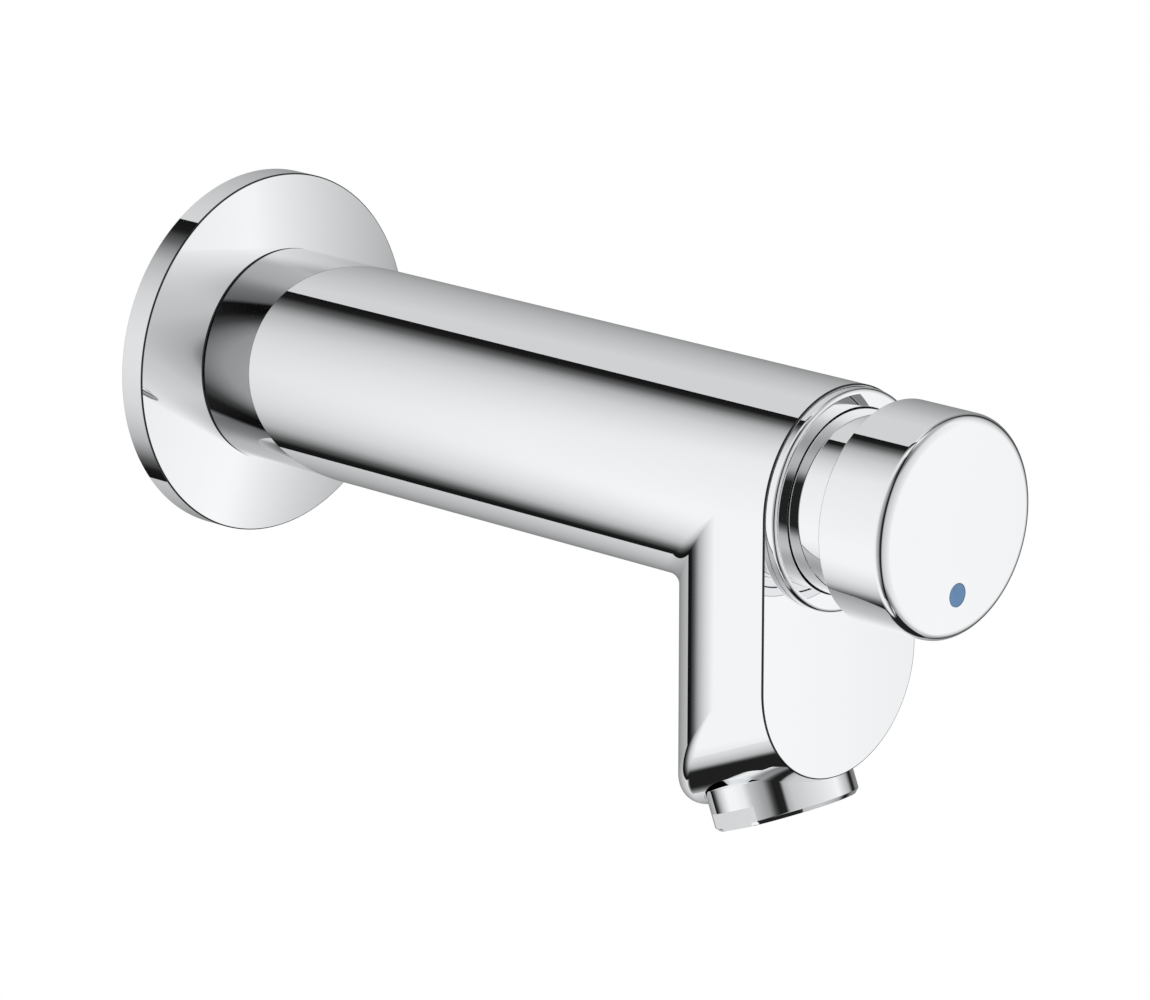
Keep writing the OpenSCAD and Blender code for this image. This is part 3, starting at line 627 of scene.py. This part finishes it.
def underside_patches(heel_beta, heel_u):
    """The spout's underside round the aerator's recess, and the recess.

    Lines in (b, u) run from the recess's circle to the underside's border. The circle lies across
    the jet, where a point has x = R sin b and v = u - R (1 - cos b) sin t.
    """
    beta = np.linspace(np.pi / 2, -np.pi / 2, LOWER_STEPS + 1)
    heel_line, edge_line = coords(heel_beta, heel_u), coords(beta, under_edge(beta))
    right = between(heel_line[-1:], edge_line[:1], shares(DEPTH_STEPS))[0]
    left = between(edge_line[-1:], heel_line[:1], shares(DEPTH_STEPS))[0]
    border = np.concatenate([heel_line, right[1:-1], edge_line, left[1:]])
    b, u = border.T
    v = u - BARREL_R * (1 - np.cos(b)) * SIN_TILT - AERATOR_SETBACK
    spoke = np.arctan2(v, BARREL_R * np.sin(b))
    x, v = AERATOR_RECESS_R * np.cos(spoke), AERATOR_RECESS_R * np.sin(spoke)
    hole_b = np.arcsin(x / BARREL_R)
    hole_u = v + AERATOR_SETBACK + BARREL_R * (1 - np.cos(hole_b)) * SIN_TILT
    place = between(coords(hole_b, hole_u), border, shares(RECESS_RINGS))
    skin = under_point(place[..., 0], place[..., 1])
    out = spokes(spoke, X, DOWN_TILT)

    def ring(r, height):
        """A circle about the jet: rim + height * up + r * out."""
        return AERATOR_RIM + height * UP_JET + r * out

    shelf = AERATOR_SKIRT + AERATOR_CLEARANCE
    step_out, step_in = ring(AERATOR_RECESS_R, shelf), ring(AERATOR_SOCKET_R, shelf)
    top, middle = ring(AERATOR_SOCKET_R, AERATOR_SOCKET_TOP), ring(0, AERATOR_SOCKET_TOP)
    return [
        (skin, under_normal(place[..., 0])),
        ruled(skin[:, 0], step_out, -out),
        ruled(step_out, step_in, -UP_JET),
        ruled(step_in, top, -out),
        ruled(top, middle, -UP_JET),
    ]


def body_patches():
    """The tap's body: barrel, spout, flat front, and the bores inside, turned about the barrel.

    Returns patches and edges.
    """
    theta = LOWER_TURN
    heel_centre, heel_beta, heel_u = heel(theta)
    patches = barrel_patches(theta, heel_centre)
    under = under_normal(heel_beta)
    patches.append(rolled(heel_centre, HEEL_ROUND, spokes(theta, Y, X), under, HEEL_STEPS))
    patches += lock_hole_patches(theta)
    patches += underside_patches(heel_beta, heel_u)
    # Flat sides: from the barrel's middle height down to the underside's edge
    rows = np.linspace(-SPOUT_AXIS, -REACH + FRONT_EDGE, DEPTH_STEPS + 1)
    low = -ARC_DROP - (rows + REACH) * np.tan(TILT)
    drop = shares(SIDE_STEPS)[None, :] * low[:, None]
    for side in (-1, 1):
        patches.append(facing(coords(side * BARREL_R, rows[:, None], drop), side * X))
    # Rounded edge of the front, and the flat front itself
    contact, normal = front_outline()
    ball = contact - FRONT_EDGE * normal
    front = np.broadcast_to(-Y, normal.shape)
    front_edge = rolled(ball, FRONT_EDGE, normal, front, EDGE_STEPS)
    bore = COUNTERBORE_R * spokes(FULL_TURN) - REACH * Y
    patches.append(ruled(bore, ball - FRONT_EDGE * Y, -Y, FRONT_RINGS))
    *bores, rear_edge, _ = turned([
        (COUNTERBORE_R, REACH, 0),
        (COUNTERBORE_R, CHAMBER_END, 0),
        (CHAMBER_R, CHAMBER_END, 0),
        (CHAMBER_R, INLET_CHAMBER_END, 0),
        (INLET_CHAMBER_R, INLET_CHAMBER_END, 0),
        (INLET_CHAMBER_R, INLET_END, 0),
        (INLET_R, INLET_END, 0),
        (INLET_R, SOCKET_END, 0),
        (SOCKET_R, SOCKET_END, 0),
        (SOCKET_R, BODY_REAR, 0),
        (BASE_GROOVE_IN, BODY_REAR, 0),
        (BASE_GROOVE_IN, BASE_GROOVE_END, 0),
        (BASE_GROOVE_OUT, BASE_GROOVE_END, 0),
        (BASE_GROOVE_OUT, BODY_REAR, 0),
        (BARREL_R, BODY_REAR, REAR_ROUND),
        (BARREL_R, BODY_REAR + REAR_ROUND, 0),
    ], steps=REAR_ROUND_STEPS)
    return patches + bores, [front_edge, rear_edge]


# Wall plate, collar, nipple and spring


def dome_patch(r_from, r_to, set_back, side):
    """A ring of the plate's dome or of its back, whose normal lies along (r, sqrt(D^2 - r^2))."""
    r = np.linspace(r_from, r_to, DOME_STEPS + 1)[:, None, None]
    spoke = spokes(FULL_TURN)
    points = r * spoke - (plate_face(r) - set_back) * Y
    return points, side * unit(r * spoke - np.sqrt(PLATE_DOME**2 - r**2) * Y)


def plate_patches():
    """The dished wall plate, turned about the barrel's axis. Returns patches and edges."""
    rim = PLATE_R - PLATE_WALL
    floor = PLATE_SEAT - PLATE_WALL
    slope = PLATE_R / np.sqrt(PLATE_DOME**2 - PLATE_R**2)
    # The last corner lies 1 mm up the dome's tangent, only to give the edge its direction
    back, lower_edge, side, front_edge, _ = turned([
        (rim, 0, 0),
        (PLATE_R, 0, PLATE_BREAK),
        (PLATE_R, PLATE_DEPTH, PLATE_EDGE),
        (PLATE_R - 1, PLATE_DEPTH + slope, 0),
    ])
    dome = dome_patch(PLATE_R - PLATE_EDGE, BARREL_R, 0, 1)
    dome[0][0] = front_edge[0][-1]
    seat = turned([
        (BARREL_R, PLATE_SEAT, 0),
        (PLATE_HOLE_R, PLATE_SEAT, PLATE_BREAK),
        (PLATE_HOLE_R, floor, PLATE_BREAK),
        (BARREL_R, floor, 0),
    ])
    inside = turned([(rim, plate_face(rim) - PLATE_WALL, 0), (rim, 0, 0)])
    hollow = dome_patch(BARREL_R, rim, PLATE_WALL, -1)
    return [back, lower_edge, side, dome, *seat, hollow, *inside], [front_edge]


def collar_patches():
    """The retaining collar, turned: a spigot in the body and a flat, round-edged ring before it."""
    return turned([
        (GUIDE_R, COLLAR_REAR, 0),
        (COLLAR_SPIGOT_R, COLLAR_REAR, COLLAR_SPIGOT_BREAK),
        (COLLAR_SPIGOT_R, COLLAR_FACE, 0),
        (COLLAR_SEAL_IN, COLLAR_FACE, 0),
        (COLLAR_SEAL_IN, COLLAR_SEAL_END, 0),
        (COLLAR_SEAL_OUT, COLLAR_SEAL_END, 0),
        (COLLAR_SEAL_OUT, COLLAR_FACE, 0),
        (COLLAR_R, COLLAR_FACE, COLLAR_FACE_BREAK),
        (COLLAR_R, COLLAR_FRONT, COLLAR_ROUND),
        (COLLAR_BORE_R, COLLAR_FRONT, COLLAR_BORE_BREAK),
        (COLLAR_BORE_R, COLLAR_LEDGE_AT, 0),
        (GUIDE_R, COLLAR_LEDGE_AT, 0),
        (GUIDE_R, COLLAR_REAR, 0),
    ], steps=LARGE_ROUND_STEPS)


def hexagon_ring(flats, distance):
    """Outline of a hexagon across the barrel: r = flats / 2 / cos(angle from a flat's middle)."""
    off = np.mod(FULL_TURN, np.pi / 3) - np.pi / 6
    radius = (flats / 2 / np.cos(off))[:, None]
    return radius * spokes(FULL_TURN) - distance * Y


def hexagon_flats(flats, d_from, d_to, side):
    """A hexagon's six flats: lines between two outlines. Side is 1 outside and -1 inside."""
    near, far = hexagon_ring(flats, d_from), hexagon_ring(flats, d_to)
    step = TURN_STEPS // 6
    patches = []
    for k in range(6):
        run = slice(k * step, (k + 1) * step + 1)
        normal = side * spokes(np.pi / 6 + k * np.pi / 3)
        patches.append(ruled(near[run], far[run], normal))
    return patches


def thread_patch():
    """The nipple's pipe thread, a right-handed screw with rounded crests and roots.

    radius = root + depth * wave(distance / pitch - turn), cut back to a cone at its end and fading
    out before the hexagon.
    """
    lines = np.linspace(-THREAD_LEN, -THREAD_RELIEF, THREAD_STEPS + 1)
    a, d = np.meshgrid(FULL_TURN, lines, indexing="ij")
    slope = np.abs(2 * np.mod(d / THREAD_PITCH - a / (2 * np.pi), 1.0) - 1)
    wave = np.clip(THREAD_STEEPNESS * (slope - 0.5) + 0.5, 0, 1)
    wave = 0.5 * wave + 0.5 * wave * wave * (3 - 2 * wave)
    fade = np.clip((-THREAD_RELIEF - d) / THREAD_FADE, 0, 1)
    cone = THREAD_LEAD_R + d + THREAD_LEN
    radius = np.minimum(THREAD_ROOT_R + THREAD_DEPTH * wave * fade, cone)
    spoke = spokes(a)
    points = radius[..., None] * spoke - d[..., None] * Y
    normal = unit(np.cross(np.gradient(points, axis=0), np.gradient(points, axis=1)))
    return points, normal * np.sign((normal * spoke).sum(-1, keepdims=True))


def nipple_patches():
    """The wall nipple: a pipe thread, a hexagon and a grooved spigot with a key socket in its end.

    Its round parts are turned about the barrel's axis, and straight lines join them to hexagons.
    """
    spigot = [(SPIGOT_R, HEX_FRONT, 0)]
    grooves = [(LOCK_AT, LOCK_GROOVE_R, LOCK_GROOVE_HALF)]
    grooves += [(at, SPIGOT_GROOVE_R, SPIGOT_GROOVE_HALF) for at in SPIGOT_GROOVES_AT]
    for at, r, half in grooves:
        spigot += [(SPIGOT_R, at - half, 0), (r, at - half, 0)]
        spigot += [(r, at + half, 0), (SPIGOT_R, at + half, 0)]
    spigot.append((SPIGOT_R, SPIGOT_FRONT, 0))

    def circle(radius, distance):
        """A circle about the barrel's axis: radius * spoke at a distance from the wall."""
        return radius * spokes(FULL_TURN) - distance * Y

    return [
        thread_patch(),
        *turned([(WATERWAY_R, -THREAD_LEN, 0), (THREAD_LEAD_R, -THREAD_LEN, 0)]),
        *turned([(THREAD_ROOT_R, -THREAD_RELIEF, 0), (THREAD_ROOT_R, 0, 0)]),
        ruled(circle(THREAD_ROOT_R, 0), hexagon_ring(HEX_FLATS, 0), Y),
        *hexagon_flats(HEX_FLATS, 0, HEX_FRONT, 1),
        ruled(circle(SPIGOT_R, HEX_FRONT), hexagon_ring(HEX_FLATS, HEX_FRONT), -Y),
        *turned(spigot),
        ruled(hexagon_ring(KEY_FLATS, SPIGOT_FRONT), circle(SPIGOT_R, SPIGOT_FRONT), -Y),
        *hexagon_flats(KEY_FLATS, SPIGOT_FRONT, KEY_REAR, -1),
        ruled(circle(WATERWAY_R, KEY_REAR), hexagon_ring(KEY_FLATS, KEY_REAR), -Y),
        *turned([(WATERWAY_R, KEY_REAR, 0), (WATERWAY_R, -THREAD_LEN, 0)]),
    ]


def spring_patches():
    """The return spring: a round wire carried along a screw line, with flat ends.

    middle = radius * spoke(a) + (start + rise * a / whole turn) * along, and the wire's skin is
    wire radius * (cos b * spoke + sin b * side) about it.
    """
    a = np.linspace(0, 2 * np.pi * SPRING_TURNS, SPRING_STEPS * SPRING_TURNS + 1)
    b = np.linspace(0, 2 * np.pi, WIRE_STEPS + 1)
    lead = (SPRING_LEN - 2 * SPRING_WIRE_R) / a[-1]
    spoke = spokes(a)
    forward = unit(SPRING_R * spokes(a, Z, -X) - lead * Y)
    side = np.cross(spoke, forward)
    distance = SPRING_REAR + SPRING_WIRE_R + lead * a
    middle = SPRING_R * spoke - distance[:, None] * Y
    normal = spokes(b, spoke[:, None], side[:, None])
    skin = middle[:, None] + SPRING_WIRE_R * normal
    ends = [
        ruled(np.broadcast_to(middle[i], skin[i].shape), skin[i], way * forward[i])
        for i, way in ((0, -1), (-1, 1))
    ]
    return [(skin, normal), *ends]


# Button


def neck_patches():
    """The button's neck, turned: a tube with a web for the stem and a flange that holds the cap."""
    return turned([
        (NECK_HOLE_R, NECK_WEB_REAR, 0),
        (NECK_BORE_R, NECK_WEB_REAR, 0),
        (NECK_BORE_R, NECK_REAR, 0),
        (NECK_R, NECK_REAR, NECK_REAR_ROUND),
        (NECK_R, NECK_FLANGE_REAR, NECK_ROOT_ROUND),
        (NECK_FLANGE_R, NECK_FLANGE_REAR, NECK_FLANGE_BREAK),
        (NECK_FLANGE_R, NECK_GROOVE_REAR, 0),
        (NECK_GROOVE_R, NECK_GROOVE_REAR, 0),
        (NECK_GROOVE_R, NECK_GROOVE_FRONT, 0),
        (NECK_FLANGE_R, NECK_GROOVE_FRONT, 0),
        (NECK_FLANGE_R, NECK_FLANGE_FRONT, NECK_FLANGE_BREAK),
        (NECK_HOLE_R, NECK_FLANGE_FRONT, 0),
        (NECK_HOLE_R, NECK_WEB_REAR, 0),
    ])


def cap_patches():
    """The button's cap: a turned cup whose flat face has a round pocket for the colour dot.

    The face is filled by lines from its border to the pocket's circle.
    """
    inside = BUTTON_FRONT - BUTTON_FACE_T
    edge = BUTTON_R - BUTTON_ROUND
    patches = turned([
        (0, inside, 0),
        (BUTTON_BORE_R, inside, BUTTON_INSIDE_ROUND),
        (BUTTON_BORE_R, BUTTON_REAR, BUTTON_LIP_BREAK),
        (BUTTON_R, BUTTON_REAR, BUTTON_REAR_BREAK),
        (BUTTON_R, BUTTON_FRONT, BUTTON_ROUND),
        (edge, BUTTON_FRONT, 0),
    ], steps=LARGE_ROUND_STEPS)
    spoke = spokes(FULL_TURN)
    middle = np.array([0, -BUTTON_FRONT, -DOT_DROP])
    depth = (DOT_T + DOT_GAP) * Y
    mouth = middle + (DOT_R + DOT_GAP) * spoke
    floor = mouth + depth
    return patches + [
        ruled(edge * spoke - BUTTON_FRONT * Y, mouth, -Y, CAP_RINGS),
        ruled(mouth, floor, -spoke),
        ruled(floor, np.broadcast_to(middle + depth, floor.shape), -Y),
    ]


def dot_patches():
    """The colour dot: a thin turned disc with a softly rounded front edge."""
    rear = BUTTON_FRONT - DOT_T
    return turned([
        (0, rear, 0),
        (DOT_R, rear, 0),
        (DOT_R, BUTTON_FRONT, DOT_ROUND),
        (0, BUTTON_FRONT, 0),
    ], DOT_AXIS, FULL_TURN[::2])


# Aerator


def housing_patches():
    """The aerator's housing: turned about the jet, with two wrench flats at its lower end.

    Below the flats' height a point beyond a flat is moved back onto it, straight across. Returns
    patches and edges.
    """
    reach = np.arccos(WRENCH_FLAT / AERATOR_R)
    breaks = WRENCH_TURN + np.add.outer([0, np.pi], [-reach, reach]).reshape(-1)
    breaks = np.add.outer(breaks, [-WRENCH_SPLIT, WRENCH_SPLIT]).reshape(-1) % (2 * np.pi)
    angles = np.sort(np.concatenate([FULL_TURN, breaks]))
    flat = spokes(WRENCH_TURN, X, DOWN_TILT)

    def flatten(patch):
        """A patch with what lies beyond a flat moved back: point - (reach - flat) * direction."""
        points, normals = patch
        beyond = (points - AERATOR_RIM) @ flat
        over = np.abs(beyond) - WRENCH_FLAT
        moved = points - np.where(over > 0, np.sign(beyond) * over, 0)[..., None] * flat
        on_flat = (over > 0) & (np.abs(normals @ UP_JET) < END_ON)
        flat_normals = np.sign(beyond)[..., None] * flat
        return moved, np.where(on_flat[..., None], flat_normals, normals)

    lower = turned([
        (AERATOR_BORE_R, AERATOR_TOP, 0),
        (AERATOR_BORE_R, AERATOR_LIP, 0),
        (AERATOR_MOUTH_R, AERATOR_LIP, AERATOR_LIP_ROUND),
        (AERATOR_MOUTH_R, 0, AERATOR_MOUTH_ROUND),
        (AERATOR_R - AERATOR_BEVEL, 0, AERATOR_BREAK),
        (AERATOR_R, AERATOR_BEVEL, AERATOR_SIDE_BREAK),
        (AERATOR_R, WRENCH_H, 0),
    ], AERATOR_AXIS, angles)
    upper = turned([
        (AERATOR_R, WRENCH_H, 0),
        (AERATOR_R, AERATOR_SKIRT - AERATOR_SLOPE, AERATOR_SIDE_BREAK),
        (AERATOR_THREAD_R, AERATOR_SKIRT, AERATOR_BREAK),
        (AERATOR_THREAD_R, AERATOR_TOP, 0),
        (AERATOR_BORE_R, AERATOR_TOP, 0),
    ], AERATOR_AXIS, angles)
    lower = [flatten(patch) for patch in lower]
    ledge = np.stack([lower[-1][0][-1], upper[0][0][0]])
    return lower + upper, [facing(ledge, -UP_JET)]


# Pieces

# The edges of the body, the plate and the aerator's housing carry the painted dark edge shade
skin, edges = body_patches()
make_piece("body", skin, CHROME, "tap", "chrome", "tap_body", edges=edges)
skin, edges = plate_patches()
make_piece("wall_flange", skin, CHROME, "tap", "chrome", "wall_plate", edges=edges)
make_piece("front_collar", collar_patches(), CHROME, "tap", "chrome", "retaining_collar")
skin, edges = housing_patches()
make_piece("outlet_housing", skin, CHROME, "tap", "chrome", "aerator_housing", edges=edges)
make_piece("inlet_nipple", nipple_patches(), BRASS, "tap", "brass", "wall_nipple")
spring = make_piece("closing_spring", spring_patches(), STEEL, "tap", "stainless", "return_spring")
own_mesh(spring)
make_piece("push_neck", neck_patches(), CHROME, "push_button", "chrome", "button_neck")
make_piece("push_cap", cap_patches(), CHROME, "push_button", "chrome", "button_cap")
make_piece("temperature_dot", dot_patches(), ENAMEL, "push_button", "blue_enamel", "colour_dot")

NODE_FINISHES = {
    "chrome": CHROME, "brass": BRASS, "stainless": STEEL, "rubber": RUBBER,
    "white_plastic": WHITE_PLASTIC, "grey_plastic": GREY_PLASTIC, "blue_enamel": ENAMEL,
}
for part in frame["record"]["subparts"]:
    shown = frame["nodes"][part["node"]].data.materials
    shown.clear()
    shown.append(NODE_FINISHES[part["material_slot"]])


# Studio

# Brightness of the studio's walls by compass angle: 0 is straight out from the tap's front, minus
# is to the left. Behind on the left is a large soft panel, then a dark gap beside the camera, in
# front a white panel, to the right an open dark side, and behind on the right a pale panel.
WALLS = [
    (-180, 20), (-172, 30), (-165, 100), (-155, 185), (-145, 215), (-130, 240), (-115, 240),
    (-98, 230), (-87, 190), (-66, 150), (-58, 70), (-53, 30), (-43, 35), (-39, 175), (-30, 200),
    (0, 220), (37, 240), (43, 245), (55, 220), (67, 195), (77, 40), (84, 40), (92, 150), (131, 220),
]
WALL_TINT = np.array([0.992, 1.0, 1.006])
# The share of light that chrome gives back: the walls are brighter by as much
CHROME_SHARE = 0.935
# The walls are a round screen about the tap: its radius, middle, lower and upper edge
SCREEN_R = 560.0
SCREEN_AT = np.array([2.6, -82.8, 0.0])
SCREEN_LOW, SCREEN_TOP = -1000.0, 1600.0
SCREEN_STEP, SCREEN_LEVELS = 2, 9
# Changes of the screen's light, each from one place to another in metres from the screen's middle,
# with the values there: by height, by distance from the tap's level, by depth, and sideways
SCREEN_UPWARD = (-0.2, 0.6, 1.03, 0.88)
SCREEN_FAR = (0.35, 0.7, 0.0, 1.0)
SCREEN_FRONT = (-0.15, 0.0, 1.0, 0.0)
SCREEN_DIMMING = (-0.3, 0.1, 0.7, 0.4)
# A grey patch on the screen: its middle in metres, and the change by the distance from it
PATCH_AT = (0.412, 0.299, -0.22)
PATCH_SHADE = (0.1, 0.82, 0.32, 1.0)
# The dark under the tap: changes by height and sideways of a direction, and its shade
UNDER_HEIGHT = (-0.9, -0.8, 1.0, 0.0)
UNDER_SIDE = (-0.17, -0.08, 0.0, 1.0)
UNDER_SHADE = 0.015
SOFT_LIGHT = 0.82
# Pale floor
FLOOR_HALF, FLOOR_AT, FLOOR_LINES = 4000.0, -420.0, 9
FLOOR_SHADE, FLOOR_ROUGHNESS = 0.86, 0.8
# Camera: its compass angle, its rise, the point it aims at, its distance and its lens
CAMERA_ANGLE, CAMERA_RISE = np.radians(-46.438), np.radians(16.446)
CAMERA_AIM = np.array([2.63, -82.8, -14.59])
CAMERA_DISTANCE = 1096.6
CAMERA_LENS, CAMERA_SENSOR = 185.05, 36.0
CAMERA_NEAR, CAMERA_FAR = 0.05, 50.0


def linear(grey):
    """A screen grey from 0 to 255 as linear light."""
    g = grey / 255
    return g / 12.92 if g <= 0.04045 else ((g + 0.055) / 1.055) ** 2.4


def even(level):
    """A colour without tint."""
    return (level, level, level, 1)


def smooth(tree, value, *limits):
    """A change that starts and ends softly."""
    return change(tree, value, *limits, kind="SMOOTHSTEP")


def math_node(tree, operation, *values):
    """The result of one sum on values or links."""
    return add_node(tree, "ShaderNodeMath", dict(enumerate(values)), operation=operation).outputs[0]


def wall_ramp(tree, place):
    """A colour ramp of the studio's walls by the compass angle of a place or a direction."""
    part = add_node(tree, "ShaderNodeSeparateXYZ", {0: place}).outputs
    angle = math_node(tree, "ARCTAN2", part["X"], math_node(tree, "MULTIPLY", part["Y"], -1.0))
    node = add_node(tree, "ShaderNodeValToRGB", {"Fac": change(tree, angle, -np.pi, np.pi)})
    ramp = node.color_ramp
    for at, _ in WALLS[1:-1]:
        ramp.elements.new((at + 180) / 360)
    for element, (at, grey) in zip(ramp.elements, WALLS):
        element.position = (at + 180) / 360
        element.color = (*(linear(grey) / CHROME_SHARE * WALL_TINT), 1)
    return node.outputs["Color"]


def studio_world():
    """World light: white to the camera, the studio's walls to metal, even and soft to the rest."""
    world = bpy.data.worlds.new("studio")
    world.use_nodes = True
    tree = world.node_tree
    tree.nodes.clear()
    direction = add_node(tree, "ShaderNodeTexCoord").outputs["Generated"]
    part = add_node(tree, "ShaderNodeSeparateXYZ", {0: direction}).outputs
    low, aside = smooth(tree, part["Z"], *UNDER_HEIGHT), smooth(tree, part["X"], *UNDER_SIDE)
    under = math_node(tree, "MULTIPLY", low, aside)
    metal = blend(tree, under, wall_ramp(tree, direction), even(UNDER_SHADE))
    path = add_node(tree, "ShaderNodeLightPath").outputs
    shiny = math_node(tree, "MAXIMUM", path["Is Glossy Ray"], path["Is Transmission Ray"])
    soft = blend(tree, shiny, even(SOFT_LIGHT), metal)
    seen = blend(tree, path["Is Camera Ray"], soft, even(1))
    light = add_node(tree, "ShaderNodeBackground", {"Color": seen, "Strength": 1.0})
    output = add_node(tree, "ShaderNodeOutputWorld")
    tree.links.new(light.outputs[0], output.inputs["Surface"])
    bpy.context.scene.world = world


def screen_light(tree):
    """The screen's light: it dims upwards, in front far above and below the tap, and on a patch."""
    spot = add_node(tree, "ShaderNodeTexCoord").outputs["Object"]
    middle = {0: spot, 1: tuple(SCREEN_AT * MM)}
    place = add_node(tree, "ShaderNodeVectorMath", middle, operation="SUBTRACT").outputs[0]
    part = add_node(tree, "ShaderNodeSeparateXYZ", {0: place}).outputs
    upward = change(tree, part["Z"], *SCREEN_UPWARD)
    height = math_node(tree, "ABSOLUTE", part["Z"])
    far, depth = smooth(tree, height, *SCREEN_FAR), smooth(tree, part["Y"], *SCREEN_FRONT)
    dimming = smooth(tree, part["X"], *SCREEN_DIMMING)
    loss = math_node(tree, "MULTIPLY", math_node(tree, "MULTIPLY", far, depth), dimming)
    front = math_node(tree, "SUBTRACT", 1.0, loss)
    patch = add_node(tree, "ShaderNodeVectorMath", {0: spot, 1: PATCH_AT}, operation="DISTANCE")
    grey = change(tree, patch.outputs["Value"], *PATCH_SHADE)
    share = math_node(tree, "MULTIPLY", math_node(tree, "MULTIPLY", upward, front), grey)
    inputs = {"Color": wall_ramp(tree, place), "Strength": share}
    return add_node(tree, "ShaderNodeEmission", inputs).outputs[0]


def studio_screen():
    """The studio's walls near the tap: a round screen that shows in metal alone.

    A point is the screen's middle + radius * (sin a, -cos a) at compass angle a, at height z.
    """
    round_steps = np.radians(np.arange(-180, 181, SCREEN_STEP))
    levels = np.linspace(SCREEN_LOW, SCREEN_TOP, SCREEN_LEVELS)
    a, z = np.meshgrid(round_steps, levels, indexing="ij")
    outward = spokes(a, -Y, X)
    points = SCREEN_AT + SCREEN_R * outward + z[..., None] * Z
    mesh = make_mesh("studio_screen", [(points, -outward)])
    finish = bpy.data.materials.new("studio_screen")
    finish.use_nodes = True
    tree = finish.node_tree
    tree.nodes.remove(tree.nodes["Principled BSDF"])
    tree.links.new(screen_light(tree), tree.nodes["Material Output"].inputs["Surface"])
    finish.cycles.emission_sampling = "NONE"
    mesh.materials.append(finish)
    screen = put("studio_screen", mesh)
    screen.visible_camera = False
    screen.visible_diffuse = False
    screen.visible_shadow = False


def pale_floor():
    """A wide pale floor far under the tap, white to the camera and clear from below."""
    line = np.linspace(-FLOOR_HALF, FLOOR_HALF, FLOOR_LINES)
    x, y = np.meshgrid(line, line, indexing="ij")
    mesh = make_mesh("floor", [facing(coords(x, y, FLOOR_AT), Z)])
    finish = bpy.data.materials.new("pale_floor")
    finish.use_nodes = True
    tree = finish.node_tree
    surface = tree.nodes["Principled BSDF"]
    surface.inputs["Base Color"].default_value = even(FLOOR_SHADE)
    surface.inputs["Roughness"].default_value = FLOOR_ROUGHNESS
    seen = add_node(tree, "ShaderNodeLightPath").outputs["Is Camera Ray"]
    white = add_node(tree, "ShaderNodeEmission", {"Color": even(1), "Strength": 1.0}).outputs[0]
    clear = add_node(tree, "ShaderNodeBsdfTransparent").outputs[0]
    from_above = {0: seen, 1: surface.outputs[0], 2: white}
    above = add_node(tree, "ShaderNodeMixShader", from_above).outputs[0]
    below = add_node(tree, "ShaderNodeNewGeometry").outputs["Backfacing"]
    both = add_node(tree, "ShaderNodeMixShader", {0: below, 1: above, 2: clear})
    tree.links.new(both.outputs[0], tree.nodes["Material Output"].inputs["Surface"])
    mesh.materials.append(finish)
    floor = put("floor", mesh)
    floor.visible_glossy = False


def photo_camera():
    """A long lens to the left of the tap and a little above it."""
    level = np.cos(CAMERA_RISE) * spokes(CAMERA_ANGLE, -Y, X)
    away = level + np.sin(CAMERA_RISE) * Z
    data = bpy.data.cameras.new("camera")
    data.lens = CAMERA_LENS
    data.sensor_width = CAMERA_SENSOR
    data.clip_start, data.clip_end = CAMERA_NEAR, CAMERA_FAR
    camera = put("camera", data)
    camera.location = (CAMERA_AIM + CAMERA_DISTANCE * away) * MM
    camera.rotation_euler = (np.pi / 2 - CAMERA_RISE, 0, CAMERA_ANGLE)
    bpy.context.scene.camera = camera


studio_world()
studio_screen()
pale_floor()
photo_camera()
bpy.context.scene.view_settings.view_transform = "Standard"
